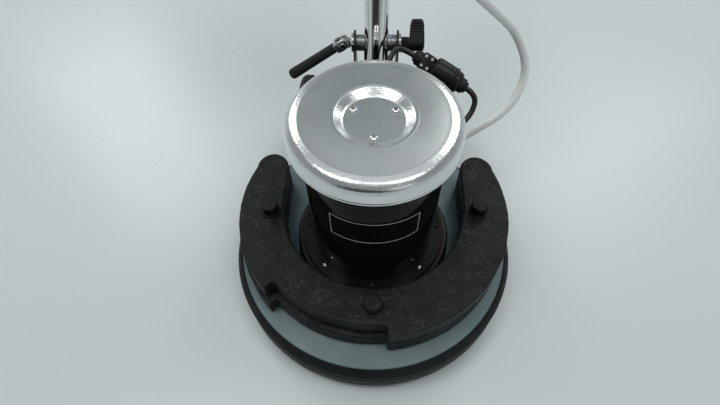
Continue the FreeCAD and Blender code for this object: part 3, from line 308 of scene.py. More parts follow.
def cover_chrome():
    """Bright plating: satin on the ring and dish floor, a pebbled skin on the shoulder and dish wall."""
    made = Finish("Cover_chrome", (0.80, 0.82, 0.83), 0.2, 1.0)
    ring = made.combine("MULTIPLY", made.beyond(50, 54), made.beyond(98, 88))
    satin = made.combine("MAXIMUM", ring, made.beyond(39, 36))
    peel = made.spread(satin, 0.0, 1.0, 1.0, 0.0)
    pebbled = made.combine("MULTIPLY", peel, made.cloud(3.2, 4, 0.18, 0.26))
    smooth = made.combine("MULTIPLY", satin, made.cloud(40, 2, 0.24, 0.28))
    made.roughness(made.combine("ADD", pebbled, smooth))
    made.vary_colour(60, (0.79, 0.80, 0.805), (0.82, 0.84, 0.845))
    made.bump(made.combine("MULTIPLY", made.noise(11, 2), peel), 0.16)
    return made.bump(made.combine("MULTIPLY", made.noise(2.8, 2), peel), 0.26)


def cast_black():
    """Satin black paint over a rough sand casting, with greyer patches and clusters of small glints painted
    pale into the base colour as painted highlights; they also raise the skin a little.
    """
    made = Finish("Weight_casting", (0.007, 0.009, 0.009), 0.4, Specular_IOR_Level=0.22)
    patch = made.noise(22, 5)
    grit = made.noise(1.7, 4, rough=0.65)
    base = made.tint(patch, (0.3, (0.003, 0.0045, 0.0045)), (0.5, (0.006, 0.008, 0.008)),
                     (0.72, (0.014, 0.016, 0.015)))
    # Painted highlights: pale specks, gathered in clusters, are mixed into the base colour.
    painted_glint_spot = made.spread(made.cells(1.6), 0.0, 0.28, 1.0, 0.0)
    painted_glint_clusters = made.spread(made.noise(26, 5, rough=0.72), 0.49, 0.63, 0.0, 0.85)
    painted_glint = made.combine("MULTIPLY", painted_glint_spot, painted_glint_clusters)
    bright = {"Factor": painted_glint, "A": base, "B": (0.62, 0.63, 0.62, 1)}
    made.colour(made.add("ShaderNodeMix", bright, data_type="RGBA").outputs["Result"])
    made.roughness(made.spread(grit, 0.3, 0.7, 0.26, 0.55))
    made.bump(made.noise(7, 4), 0.5, 0.6)
    made.bump(grit, 0.5, 0.8)
    return made.bump(painted_glint, 0.3, 0.8)


def hammered_paint():
    """Blue-grey deck enamel with a faint hammered skin."""
    made = Finish("Deck_enamel", (0.122, 0.187, 0.195), 0.38, Coat_Weight=0.1, Coat_Roughness=0.2)
    made.vary_colour(60, (0.11, 0.17, 0.177), (0.135, 0.202, 0.211))
    made.vary_roughness(25, 0.32, 0.46)
    made.bump(made.noise(3.5, 2), 0.05)
    return made.bump(made.noise(45, 2), 0.12)


def clear_vinyl():
    """Clear hose, a little milky."""
    made = Finish("Hose_vinyl", (0.92, 0.95, 0.93), 0.26, IOR=1.45, Subsurface_Weight=0.2,
                  Subsurface_Scale=0.003)
    made.vary_colour(35, (0.88, 0.92, 0.90), (0.94, 0.96, 0.95))
    made.vary_roughness(12, 0.16, 0.3)
    return made.bump(made.noise(8, 2), 0.05)


def tank_skin():
    """Milky rotationally moulded tank with a slight orange peel."""
    made = Finish("Tank_plastic", (0.62, 0.65, 0.66), 0.4, Subsurface_Weight=0.25, Subsurface_Scale=0.01)
    made.vary_colour(80, (0.56, 0.60, 0.62), (0.68, 0.71, 0.71))
    made.vary_roughness(20, 0.33, 0.48)
    return made.bump(made.noise(3, 2), 0.06)


def copper_wire():
    """Varnished strands along the winding."""
    made = Finish("Copper_wire", (0.62, 0.28, 0.12), 0.3, 0.9)
    strands = made.noise(1.1, 2, (1, 1, 3))
    made.colour(made.tint(strands, (0.35, (0.30, 0.10, 0.04)), (0.6, (0.70, 0.33, 0.15))))
    return made.bump(strands, 0.5)


def laminated():
    """A stack of thin sheets."""
    made = Finish("Core_laminations", (0.32, 0.32, 0.33), 0.4, 1.0)
    layers = made.noise(1.2, 1, (0.02, 0.02, 1))
    made.colour(made.tint(layers, (0.35, (0.16, 0.16, 0.17)), (0.65, (0.42, 0.42, 0.43))))
    return made.bump(layers, 0.2)


FINISH = {
    "cover": cover_chrome(),
    "cast": cast_black(),
    "deck": hammered_paint(),
    "vinyl": clear_vinyl(),
    "tank": tank_skin(),
    "copper": copper_wire(),
    "core": laminated(),
    "mirror": steel("Pole_chrome", (0.84, 0.84, 0.83), 0.05, (1, 1, 0.1), 3.0, 0.004),
    "zinc": steel("Bright_zinc", (0.70, 0.71, 0.71), 0.2, grain_size=1.0),
    "lever": steel("Lever_casting", (0.60, 0.61, 0.61), 0.32, grain_size=1.6, depth=0.12),
    "hub": steel("Hub_steel", (0.33, 0.34, 0.35), 0.3, (6, 0.5, 0.5), 2.0, 0.03),
    "gear": steel("Gear_steel", (0.55, 0.56, 0.57), 0.28),
    "bearing": steel("Bearing_steel", (0.68, 0.69, 0.70), 0.16),
    "aluminium": steel("Cast_aluminium", (0.62, 0.63, 0.64), 0.42, grain_size=1.5, depth=0.15),
    "gloss": moulded("Motor_enamel", (0.005, 0.006, 0.006), 0.09, 14.0, 0.02, specular=0.09),
    "flange": moulded("Flange_enamel", (0.005, 0.006, 0.007), 0.24, 1.5, 0.04, specular=0.22),
    "frame": moulded("Frame_powder_coat", (0.018, 0.018, 0.019), 0.42, 0.8, 0.08),
    "rubber": moulded("Bumper_rubber", (0.012, 0.014, 0.015), 0.55, 0.9, 0.06, specular=0.15),
    "grip": moulded("Grip_rubber", (0.013, 0.016, 0.018), 0.55, 0.6, 0.08, specular=0.35),
    "tyre": moulded("Tyre_rubber", (0.014, 0.014, 0.015), 0.6, 0.8, 0.08, specular=0.35),
    "sheath": moulded("Lead_sheath", (0.009, 0.010, 0.011), 0.38, 0.7, 0.03),
    "plastic": moulded("Black_plastic", (0.008, 0.009, 0.010), 0.42, 0.35, 0.04, specular=0.3),
    "coupler": moulded("Coupler_plastic", (0.008, 0.009, 0.010), 0.34, 0.3, 0.03, specular=0.28),
    "cap": moulded("Cap_plastic", (0.03, 0.03, 0.035), 0.42),
    "red": moulded("Red_plastic", (0.50, 0.025, 0.018), 0.3),
    "wheel": moulded("Wheel_plastic", (0.22, 0.225, 0.23), 0.45),
    "board": moulded("Brush_board", (0.05, 0.08, 0.17), 0.5),
    "fibre": moulded("Bristle_fibre", (0.04, 0.08, 0.22), 0.5, 0.3, 0.2),
    "outline": moulded("Plate_outline", (0.55, 0.56, 0.56), 0.35),
}


def skin(piece, *names):
    """Gives a piece its finishes, in the order of its material slots."""
    piece.data.materials.clear()
    for name in names:
        piece.data.materials.append(FINISH[name].material)
    return piece


# ---- mesh building

def arc(centre, reach, first, last, steps=0, spacing=1.0):
    """Points on a circle from one direction to another, the shorter way: so many steps, or so far apart."""
    sweep = (last - first + math.pi) % (2 * math.pi) - math.pi
    steps = steps or max(2, round(abs(sweep * reach) / spacing))
    angles = [first + sweep * step / steps for step in range(steps + 1)]
    return [centre + Vector((math.cos(angle), math.sin(angle))) * reach for angle in angles]


def rounded(points, closed, steps=5):
    """A path in a plane; a point's third number is the radius its corner is rounded to."""
    path = []
    count = len(points)
    for index, point in enumerate(points):
        here = Vector(point[:2])
        radius = point[2] if len(point) > 2 else 0
        if not radius or (not closed and index in (0, count - 1)):
            path.append(here)
            continue
        before = Vector(points[index - 1][:2]) - here
        after = Vector(points[(index + 1) % count][:2]) - here
        half = before.angle(after) / 2
        back = min(radius / math.tan(half), 0.49 * min(before.length, after.length))
        centre = here + (before.normalized() + after.normalized()).normalized() * (back / math.cos(half))
        start = here + before.normalized() * back - centre
        end = here + after.normalized() * back - centre
        path += arc(centre, start.length, math.atan2(start.y, start.x), math.atan2(end.y, end.x), steps)
    return path


def arc_outline(steps, fineness=3.0):
    """A closed outline of (x, y) or, where an arc of that radius leads there, (x, y, radius)."""
    path = []
    for index, step in enumerate(steps):
        end = Vector(step[:2])
        start = Vector(steps[index - 1][:2])
        if len(step) > 2:
            radius = step[2]
            chord = end - start
            rise = math.sqrt(max(radius * radius - chord.length_squared / 4, 0))
            side = Vector((-chord.y, chord.x)).normalized() * (rise if radius > 0 else -rise)
            centre = (start + end) / 2 + side
            first = math.atan2(start.y - centre.y, start.x - centre.x)
            last = math.atan2(end.y - centre.y, end.x - centre.x)
            path += arc(centre, abs(radius), first, last, spacing=fineness)[1:-1]
        path.append(end)
    return path


def as_piece(name, verts, faces, finish, place=None, crease=32):
    """A mesh object from points in millimetres; edges sharper than crease degrees stay sharp."""
    mesh = bpy.data.meshes.new(name)
    mesh.from_pydata([Vector(v) * MM for v in verts], [], faces)
    mesh.validate()
    built = bmesh.new()
    built.from_mesh(mesh)
    bmesh.ops.recalc_face_normals(built, faces=built.faces)
    built.to_mesh(mesh)
    built.free()
    piece = linked(name, mesh)
    if place:
        mesh.transform(place)
    shade(piece, crease)
    return skin(piece, *([finish] if isinstance(finish, str) else finish))


def shade(piece, crease=32):
    piece.data.shade_smooth()
    piece.data.set_sharp_from_angle(angle=math.radians(crease))


def turned(name, profile, finish, place=None, closed=False, steps=96, corner=5, crease=32):
    """A solid turned about its own Z from a path of (radius, height[, corner radius]) in millimetres."""
    path = [(point.x, point.y, 0) for point in rounded(profile, closed, corner)]
    return fluted(name, path, 0, finish, place, closed, steps, crease)


def quads(rows, closed=False):
    """Faces between rows of point numbers; each row is a closed ring."""
    faces = []
    pairs = list(zip(rows, rows[1:])) + ([(rows[-1], rows[0])] if closed else [])
    for low, high in pairs:
        for index in range(len(low)):
            following = (index + 1) % len(low)
            face = list(dict.fromkeys((low[index], low[following], high[following], high[index])))
            if len(face) > 2:
                faces.append(face)
    return faces


def ends(rows):
    """The two faces that close a run of rings."""
    return [list(rows[0])[::-1], list(rows[-1])]


def lofted(name, rings, finish, place):
    """A solid through closed rings of (x, y, z) points."""
    verts, rows = [], []
    for ring in rings:
        rows.append(range(len(verts), len(verts) + len(ring)))
        verts += ring
    return as_piece(name, verts, quads(rows) + ends(rows), finish, place)


def fluted(name, profile, flutes, finish, place=None, closed=False, steps=0, crease=40):
    """A turned solid with flutes: a profile point is (radius, height, depth of the flutes)."""
    steps = steps or flutes * 8
    verts, rows = [], []
    for radius, height, depth in profile:
        if radius < 1e-6:
            rows.append([len(verts)] * steps)
            verts.append((0, 0, height))
            continue
        rows.append(range(len(verts), len(verts) + steps))
        for step in range(steps):
            angle = 2 * math.pi * step / steps
            reach = radius - depth * (0.5 - 0.5 * math.cos(flutes * angle))
            verts.append((reach * math.cos(angle), reach * math.sin(angle), height))
    return as_piece(name, verts, quads(rows, closed), finish, place, crease)


def prism(name, outline, low, high, finish, place=None, bevel=1.0, steps=3):
    """An outline in millimetres, given a thickness and softened edges."""
    count = len(outline)
    verts = [(p[0], p[1], low) for p in outline] + [(p[0], p[1], high) for p in outline]
    rows = [range(count), range(count, 2 * count)]
    piece = as_piece(name, verts, quads(rows) + ends(rows), finish, place)
    if bevel:
        modified(piece, "BEVEL", width=bevel * MM, segments=steps, limit_method="ANGLE",
                 angle_limit=math.radians(40))
        shade(piece)
    return piece


def modified(piece, kind, **settings):
    """Gives a piece a modifier and applies it."""
    modifier = piece.modifiers.new(kind, kind)
    for label, value in settings.items():
        setattr(modifier, label, value)
    graph = bpy.context.evaluated_depsgraph_get()
    mesh = bpy.data.meshes.new_from_object(piece.evaluated_get(graph))
    piece.modifiers.clear()
    piece.data = mesh


def oblong(x, y):
    return [(-x, -y), (x, -y), (x, y), (-x, y)]


def rounded_box(x, y, corner, steps=6):
    """The outline of a box that reaches x and y from its middle."""
    return rounded([(*point, corner) for point in oblong(x, y)], True, steps)


def joined(name, pieces):
    """One object from several, keeping each one's materials."""
    bpy.context.view_layer.update()
    with bpy.context.temp_override(active_object=pieces[0], object=pieces[0], selected_objects=pieces,
                                   selected_editable_objects=pieces):
        bpy.ops.object.join()
    pieces[0].name = name
    return pieces[0]


def copied(piece, place):
    """A moved copy with a mesh of its own."""
    twin = piece.copy()
    twin.data = piece.data.copy()
    twin.data.transform(place)
    scene.collection.objects.link(twin)
    return twin


def carve(piece, tool):
    """Cuts a tool out of a piece and removes the tool."""
    modified(piece, "BOOLEAN", object=tool, operation="DIFFERENCE", solver="EXACT")
    bpy.data.objects.remove(tool)
    shade(piece)


def fitted(piece, body, *nodes, slot):
    """Rides the piece on its body in place of its CAD nodes."""
    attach(piece, body)
    if nodes:
        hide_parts(*nodes)


def roughened(piece, voxel, layers, seed):
    """Remeshes a casting and moves its skin in and out by layers of (wavelength, depth), in mm."""
    modified(piece, "REMESH", mode="VOXEL", voxel_size=voxel * MM)
    modified(piece, "SMOOTH", factor=0.5, iterations=1)
    shift = Vector((seed, seed * 0.7, -seed))
    moves = []
    for vertex in piece.data.vertices:
        spot = vertex.co / MM + shift
        moves.append(sum(noise.noise(spot / size) * depth for size, depth in layers) * MM)
    normals = [vertex.normal.copy() for vertex in piece.data.vertices]
    for vertex, move, normal in zip(piece.data.vertices, moves, normals):
        vertex.co += normal * move
    piece.data.shade_smooth()


# ---- cords

def followed(points):
    """Points along the smooth line that a route controls."""
    curve = bpy.data.curves.new("route", "CURVE")
    curve.dimensions = "3D"
    spline = curve.splines.new("NURBS")
    spline.points.add(len(points) - 1)
    for control, point in zip(spline.points, points):
        control.co = (*point, 1)
    spline.order_u = 3
    spline.use_endpoint_u = True
    curve.resolution_u = 16
    line = linked("route", curve)
    mesh = bpy.data.meshes.new_from_object(line)
    path = [vertex.co.copy() for vertex in mesh.vertices]
    bpy.data.objects.remove(line)
    bpy.data.meshes.remove(mesh)
    return path


def tube(name, path, radius, finish, sides=20, wall=0.0):
    """A round tube along a path; wall hollows it. All in metres."""
    rings, side = [], None
    for index, point in enumerate(path):
        ahead = (path[min(index + 1, len(path) - 1)] - path[max(index - 1, 0)]).normalized()
        side = (ahead.orthogonal() if side is None else side - ahead * side.dot(ahead)).normalized()
        rings.append((point, side, ahead.cross(side)))
    walls = [(radius, rings)]
    if wall:
        walls.append((radius - wall, rings[::-1]))
    verts, rows = [], []
    for reach, order in walls:
        for point, side, other in order:
            rows.append(range(len(verts), len(verts) + sides))
            for step in range(sides):
                angle = 2 * math.pi * step / sides
                verts.append((point + (side * math.cos(angle) + other * math.sin(angle)) * reach) / MM)
    faces = quads(rows, True) if wall else quads(rows) + ends(rows)
    return as_piece(name, verts, faces, finish, crease=60)


COUPLER_START = mm(58, 190, 295)
COUPLER_AXIS = Vector((79, -44, -25)).normalized()
LEAD_RADIUS = 4.25 * MM
HOSE_RADIUS = 7 * MM

LEAD_TO_POLE = [leaning(0, 0, -74), leaning(0, 0, -96), mm(4, 148, 189), mm(10, 122, 202),
                mm(14, 118, 236), mm(14, 134, 266), mm(15, 160, 291), mm(26, 186, 309),
                COUPLER_START - COUPLER_AXIS * 0.020, COUPLER_START]
LEAD_TO_MOTOR = [COUPLER_START + COUPLER_AXIS * 0.094, COUPLER_START + COUPLER_AXIS * 0.112,
                 mm(148, 121, 244), mm(128, 104, 231), mm(106, 89, 218), mm(83.4, 70, 212.35)]
HOSE = [leaning(60, -99, 239.8), leaning(60, -99, 190), mm(118, 186, 410), mm(172, 226, 348),
        mm(226, 256, 288), mm(258, 238, 224), mm(230, 196, 176), mm(168, 177, 139), mm(122, 158, 112),
        mm(98, 146, 96)]


def add_cord(name, route, radius, finish, node, slot, bend=None, **shape):
    """A cord that rides on the chassis; one given a bend is only fixed in place, on no body."""
    path = followed(route)
    piece = tube(name, path, radius, finish, **shape)
    if bend:
        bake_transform(piece)
    else:
        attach(piece, "chassis")
    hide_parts(node)


def add_cords():
    add_cord("lead_to_pole_sheath", LEAD_TO_POLE, LEAD_RADIUS, "sheath", "lead_to_pole", "black_rubber",
             bend=(mm(30, 0, 300), mm(4, 0, 235)))
    add_cord("lead_to_motor_sheath", LEAD_TO_MOTOR, LEAD_RADIUS, "sheath", "lead_to_motor",
             "black_rubber")
    add_cord("feed_hose", HOSE, HOSE_RADIUS, "vinyl", "hose", "clear_hose",
             bend=(mm(0, 200, 110), mm(0, 240, 500)), sides=28, wall=2 * MM)


# ---- deck, bumper, brush

def foot(node):
    """A frame on the motor's axis at the height of a node's lowest face."""
    return Matrix.Translation((0, 0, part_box(node)[0].z))


COLLAR_RADIUS, COLLAR_HEIGHT = 123.5, 42


def add_deck():
    """Deck with its motor collar, which is black, three bolt pads and a shelf under the hub."""
    deck = turned("deck_enamelled", [
        (26, 0), (40, 0, 1), (40, 8, 3), (200, 11, 6), (212, -7, 4), (212, -22), (218, -22, 1),
        (218, 18, 2.2), (122, 19, 4), (122, 46, 4), (106, 46, 1), (106, 18), (22, 18), (22, 15), (26, 15)],
        ("deck", "flange"), foot("deck_housing") @ moved(0, 0, 22), closed=True, steps=256)
    low = extent("deck_housing")[0]
    for face in deck.data.polygons:
        centre = face.center
        if centre.xy.length < COLLAR_RADIUS * MM and centre.z > (low + COLLAR_HEIGHT) * MM:
            face.material_index = 1
    parts = [deck]
    for x, y in WEIGHT_BOLTS:
        pad = [(0, low + 36), (18, low + 36), (18, low + 42.5, 1), (0, low + 42.5)]
        parts.append(turned("pad", pad, "deck", moved(x, y, 0), steps=48))
    shelf = rounded([(-44, 130, 3), (44, 130, 3), (44, 204, 8), (-44, 204, 8)], True)
    parts.append(prism("shelf", shelf, low + 36, low + 42, "deck", bevel=1.5))
    fitted(joined("deck_enamelled", parts), "chassis", "deck_housing", slot="deck_paint")


def add_bumper():
    """Moulded ring with a groove round it and a rolled top edge."""
    ring = turned("bumper_ring", [
        (212.5, 7), (219, 0, 2), (225, 0, 2), (228, 3, 2.5), (228, 30, 0.8), (227, 31.2, 0.4),
        (225, 31.8, 0.4), (224.6, 33.4, 0.5), (225.4, 35, 0.5), (228.3, 36.5, 1), (228.3, 42.5, 3),
        (223, 51, 8), (219.4, 54.4, 1.2), (218.2, 54, 0.4), (218.2, 14.8), (212.5, 14.8)],
        "rubber", foot("bumper"), closed=True, steps=288, corner=4)
    fitted(ring, "chassis", "bumper", slot="black_rubber")


TUFT_RINGS, FIRST_RING, RING_GAP, TUFT_GAP = 11, 78, 12.2, 11.5


def add_brush():
    """Tufts in rings, each splayed a little, set in the moulded board."""
    verts, faces = [], []
    base, tip = extent("bristles")[1] + 0.5, 0.15
    sides, middle = 7, TUFT_RINGS // 2
    for ring in range(TUFT_RINGS):
        radius = FIRST_RING + RING_GAP * ring
        count = round(2 * math.pi * radius / TUFT_GAP)
        for index in range(count):
            angle = 2 * math.pi * (index + 0.5 * (ring % 2)) / count
            out = Vector((math.cos(angle), math.sin(angle), 0))
            along = Vector((-out.y, out.x, 0))
            wobble = noise.noise(Vector((ring * 3.1, index * 1.7, 0.5)))
            lean_out = 0.6 * (ring - middle) / middle + 0.8 * wobble
            start = len(verts)
            for height, reach in ((base, 2.6), (base * 0.55, 3.3), (tip, 4.6)):
                drift = lean_out * (1 - height / base)
                centre = out * (radius + drift) + along * wobble
                for step in range(sides):
                    spin = 2 * math.pi * step / sides + wobble
                    spot = centre + (out * math.cos(spin) + along * math.sin(spin)) * reach
                    verts.append((spot.x, spot.y, height))
            rows = [range(start + sides * row, start + sides * (row + 1)) for row in range(3)]
            faces += quads(rows) + [list(rows[0]), list(rows[2])[::-1]]
    tufts = as_piece("brush_tufts", verts, faces, "fibre", crease=50)
    fitted(tufts, "brush", "bristles", slot="bristle_fibre")


# ---- motor

def add_cover():
    """Pressed cover with a flat ring, a rolled shoulder and a shallow dish in the middle."""
    low, high = extent("fan_cover")
    high -= low
    cover = turned("fan_cover_pressing", [
        (0, high - 8), (37.6, high - 8, 5), (40.2, high - 6.9, 2), (48.6, high - 1.2, 3.5),
        (52.5, high - 0.2, 2), (92, high - 0.1, 10), (101, high - 1.8, 12), (107.4, high - 7, 9),
        (110, high - 15, 12), (110, 3.6, 0.8), (110.8, 2.6, 0.6), (110.8, 0.1, 0.5), (108.8, 0),
        (108.8, high - 15, 10), (95, high - 1.4, 6), (52, high - 1.8, 4), (48, high - 2.6, 3),
        (39, high - 9.3, 3), (0, high - 9.3)],
        "cover", foot("fan_cover"), steps=320, corner=8, crease=50)
    fitted(cover, "chassis", "fan_cover", slot="cover_chrome")


def cross_screw(name, radius, height, washer=0.0):
    """A pan head with a cross recess, standing on z = 0."""
    head = turned(name, [(0, 0), (radius, 0, 0.2), (radius, height * 0.55, radius * 0.35),
                         (radius * 0.55, height, 2.5), (0, height)], "zinc", steps=48, corner=6)
    bar = oblong(radius * 0.55, radius * 0.16)
    for turn in (0.4, 0.4 + math.pi / 2):
        place = Matrix.Rotation(turn, 4, "Z")
        carve(head, prism("recess", bar, height * 0.4, height * 1.5, "zinc", place, bevel=0))
    if washer:
        ring = turned("washer", [(radius * 0.5, 0.02), (washer, 0.02, 0.2), (washer, 0.75, 0.3),
                                 (radius * 0.5, 0.75)], "zinc", closed=True, steps=48)
        head.data.transform(moved(0, 0, 0.6))
        head = joined(name, [head, ring])
    return head


def ring_of_screws(name, node, template, reach, angles, drop, twist):
    """Copies of a screw on a circle, each head turned a little further than the one before."""
    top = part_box(node)[1].z
    twins = []
    for index, angle in enumerate(angles):
        turn = math.radians(angle)
        spot = Vector((reach * MM * math.cos(turn), reach * MM * math.sin(turn), top - drop * MM))
        twins.append(copied(template, Matrix.Translation(spot) @ Matrix.Rotation(index * twist, 4, "Z")))
    bpy.data.objects.remove(template)
    fitted(joined(name, twins), "chassis", node, slot="zinc_screws")


def add_screws():
    ring_of_screws("cover_screw_set", "cover_screws", cross_screw("screw", 4.5, 2.2, 5.6), 30,
                   (-90, 30, 150), 2.8, 1.9)
    ring_of_screws("flange_screw_set", "flange_screws", cross_screw("screw", 3.6, 2.6), 102.5,
                   (45, 135, 225, 315), 2.6, 1.3)


def add_shell():
    """Motor shell with a bead near its foot."""
    low, high = extent("motor_shell")
    shell = turned("motor_shell_enamelled", [
        (91.5, low), (94.5, low, 0.8), (94.5, low + 3), (94.1, low + 3.6, 0.5), (94.1, low + 5, 0.5),
        (94.5, low + 5.6, 0.5), (94.5, high, 1.2), (91.5, high, 0.5)], "gloss", closed=True, steps=256)
    fitted(shell, "chassis", "motor_shell", slot="shell_black")


def curved_strip(name, corners, low, high, inner, outer, finish):
    """A strip wrapped round the motor between two angles from the front, in degrees."""
    verts, rows = [], []
    first, last = (math.radians(corner) for corner in corners)
    steps = 48
    for step in range(steps + 1):
        angle = first + (last - first) * step / steps
        out = Vector((math.sin(angle), -math.cos(angle), 0))
        rows.append(range(len(verts), len(verts) + 4))
        for reach, height in ((inner, low), (outer, low), (outer, high), (inner, high)):
            verts.append((out.x * reach, out.y * reach, height))
    return as_piece(name, verts, quads(rows) + ends(rows), finish)


def add_plate():
    """Blank plate: gloss black with a thin pale outline, nothing written on it."""
    raised, turned_by, radius, edge_radius = 2.2, 1, 95, 95.8
    low, high = (height + raised for height in extent("name_plate"))
    first, last = (math.degrees(math.asin(x / edge_radius)) + turned_by for x in extent("name_plate", "x"))
    parts = [curved_strip("plate", (first, last), low, high, 94.55, 95.4, "gloss")]
    edge, inset = 0.95, 0.9
    span, inset_turn = (math.degrees(width / radius) for width in (edge, inset))
    left, right = first + inset_turn, last - inset_turn
    for corners, bottom, top in (((left, right), low + inset, low + inset + edge),
                                 ((left, right), high - inset - edge, high - inset),
                                 ((left, left + span), low + inset, high - inset),
                                 ((right - span, right), low + inset, high - inset)):
        parts.append(curved_strip("line", corners, bottom, top, 95.2, 95.65, "outline"))
    fitted(joined("name_plate_blank", parts), "chassis", "name_plate", slot="shell_black")


# ---- counterweights

WEIGHT_BOLTS = [(166.5, 15), (-162.5, 8), (3, -149.5)]


WEIGHTS = [
    ("counterweight_lower", 141.42, [(-151, -138, 213.8), (-142, -127), (22.4, -181, 200)]),
    ("counterweight_upper", 142, [(-156.3, -125, 213.8), (-143.3, -113.3), (21.7, -174.3, 196)]),
]


def weight_outline(inner_arc, notch):
    """Horseshoe seen from above; notch holds the corners of the step in its front left edge."""
    return arc_outline([
        (25, -191.3), (199.3, 98, 213.8), (172.5, 127.3, 29.2), (145.7, 98, 29.2), (145.7, 14),
        (141, 5.7), (-141, 5.7, -inner_arc), (-145.7, 14), (-145.7, 98), (-172.5, 127.3, 29.2),
        (-199.3, 98, 29.2)] + notch)


def add_weights():
    """Two rough castings, and the bolts that hold them, crusted with the same paint."""
    voxel = 1.5
    for number, (node, inner_arc, notch) in enumerate(WEIGHTS):
        low, high = extent(node)
        slab = prism(node + "_casting", weight_outline(inner_arc, notch), low + 0.4 + 0.7 * number,
                     high - 1.5 + number, "cast", bevel=1.8)
        roughened(slab, voxel, [(34, 0.45), (11, 0.38), (4.5, 0.28)], seed=40.0 * number)
        fitted(slab, "chassis", node, slot="weight_iron")
    low = extent("weight_bolts")[1] - 19.5
    bolts = []
    for index, (x, y) in enumerate(WEIGHT_BOLTS):
        place = moved(x, y, low)
        washer = [(0, 0), (15, 0, 0.6), (15, 2.3, 0.6), (0, 2.3)]
        bolts.append(turned("washer", washer, "cast", place, steps=64))
        head = turned("head", [(0, 1), (12.8, 1), (12.8, 18, 1.2), (11, 19.1, 2), (0, 19.3)],
                      "cast", corner=6)
        roughened(head, 0.9, [(7, 0.35), (2.6, 0.5)], seed=17.0 + 9 * index)
        head.data.transform(place)
        bolts.append(head)
    fitted(joined("weight_bolt_set", bolts), "chassis", "weight_bolts", slot="weight_iron")


# ---- pole, hub, lever and release

def add_pole():
    """Plated tube, and its cross hub with two turned grooves and a weld on each side."""
    pole = [(17, -62, 0.6), (19, -62, 0.6), (19, 900, 0.6), (17, 900, 0.6)]
    fitted(turned("pole_tube", pole, "mirror", POLE, closed=True), "handle", "pole",
           slot="pole_chrome")
    hub = [(6.1, 10), (12.5, 10), (12.5, 21.5, 0.4), (11.9, 21.9, 0.3), (11.9, 22.9, 0.3),
           (12.5, 23.3, 0.4), (12.5, 28, 0.4), (11.7, 28.4, 0.3), (11.7, 29.4, 0.3), (12.5, 29.8, 0.4),
           (12.5, 31.2, 0.5), (6.1, 31.2)]
    weld = [(12.0, 12), (15.5, 13.5, 2), (14.4, 16.2, 2), (12.2, 18.2, 1), (11.5, 16)]
    parts = []
    for angle in (0, math.pi):
        place = POLE @ ALONG_X @ Matrix.Rotation(angle, 4, "X")
        parts.append(turned("hub", hub, "hub", place, closed=True))
        parts.append(turned("weld", weld, "hub", place, closed=True, steps=72))
    fitted(joined("pole_hub", parts), "handle", slot="pole_chrome")


LEVER_DROP = 36


def add_lever():
    """Cast fork on its pin, plated stem and a rubber grip."""
    pivot = Vector(joints["cam_lever_swing"]["pos_m"])
    place = Matrix.Translation(pivot) @ turn_about("Y", -LEVER_DROP)
    flat = place @ turn_about("X", 90)
    cheek = [(8, -7.5, 2), (9, 0, 4), (8, 7.5, 2), (-4, 9, 3), (-14, 7.8, 2), (-14, -7.8, 2), (-4, -9, 3)]
    parts = []
    for low in (-8.5, 4.5):
        parts.append(prism("cheek", rounded(cheek, True), low, low + 4, "lever", flat, bevel=1.1))
    root = [(-9.8, -7.6), (-14, -7.6), (-14, 7.6), (-9.8, 7.6)]
    parts.append(prism("root", root, -8.2, 8.2, "lever", flat, bevel=1.5))
    pin = [(0, -10), (4.4, -10, 0.8), (4.4, -8.4, 0.4), (3, -8.4), (3, 8.4), (4.4, 8.4, 0.4),
           (4.4, 10, 0.8), (0, 10)]
    parts.append(turned("pin", pin, "zinc", flat, steps=40))
    down = place @ turn_about("Y", -90)
    parts.append(turned("stem", [(0, 12), (5, 12), (5, 99, 1), (0, 100)], "lever", down, steps=48))
    fitted(joined("cam_lever_casting", parts), "cam_lever", "clamp_lever", slot="lever_chrome")
    grip = turned("cam_lever_grip", [
        (5.05, 14.3), (7.2, 14.1, 0.8), (7.7, 17, 1), (8.2, 60), (8.9, 104, 2), (8.3, 109.8, 3), (0, 110)],
        "grip", down, steps=64, corner=6)
    fitted(grip, "cam_lever", "lever_grip", slot="black_rubber")


def add_release():
    """Square housing and ribbed thumb lever on the right end of the tilt bolt."""
    start, end = extent("release_box", "x")
    place = Matrix.Translation(HUB) @ turn_about("X", -34) @ ALONG_X
    parts = [prism("housing", rounded_box(9, 9, 2.5), start, end, "plastic", place, bevel=1.2)]
    for height in (start + 5, end - 5):
        stud = turned("stud", [(0, 0), (1.8, 0), (1.8, 0.5, 0.3), (0, 0.8)], "zinc", steps=20)
        stud.data.transform(place @ moved(-9, 3, height) @ turn_about("Y", -90))
        parts.append(stud)
    fitted(joined("release_housing", parts), "chassis", "release_box", slot="black_plastic")
    low, high = extent("release_lever", "x")
    axes_moved_on = Matrix(((0, 0, 1, 0), (1, 0, 0, 0), (0, 1, 0, 0), (0, 0, 0, 1)))
    place = Matrix.Translation(HUB) @ turn_about("X", -48) @ axes_moved_on
    outline = arc_outline([(-12, 0), (0, -12, 12), (12, 0, 12), (9, 27), (0, 36, 9), (-9, 27, 9)], 1.5)
    lever = prism("thumb", outline, low, high, "plastic", bevel=3.6, steps=6)
    middle = (low + high) / 2
    for vertex in lever.data.vertices:
        rise = max(vertex.co.y / MM - 14, 0) / 22
        vertex.co.z = middle * MM + (vertex.co.z - middle * MM) * (1 - 0.28 * rise * rise)
    lever.data.transform(place)
    parts = [lever]
    for step in range(4):
        along = 15 + 4.2 * step
        half = (high - low) / 2 - 2.6 - 0.5 * step
        ridge = [(-10.9, along), (-8.2, along), (-8.2, along + 2), (-10.9, along + 2)]
        parts.append(prism("ridge", ridge, middle - half, middle + half, "plastic", place, bevel=0.8))
    disc = [(0, high - 0.4), (7, high - 0.4), (7, high, 0.4), (5, high, 0.3), (4.6, high - 0.9, 0.3),
            (0, high - 0.9)]
    parts.append(turned("disc", disc, "plastic", Matrix.Translation(HUB) @ ALONG_X, steps=48))
    fitted(joined("thumb_lever_moulding", parts), "thumb_lever", "release_lever", slot="black_plastic")


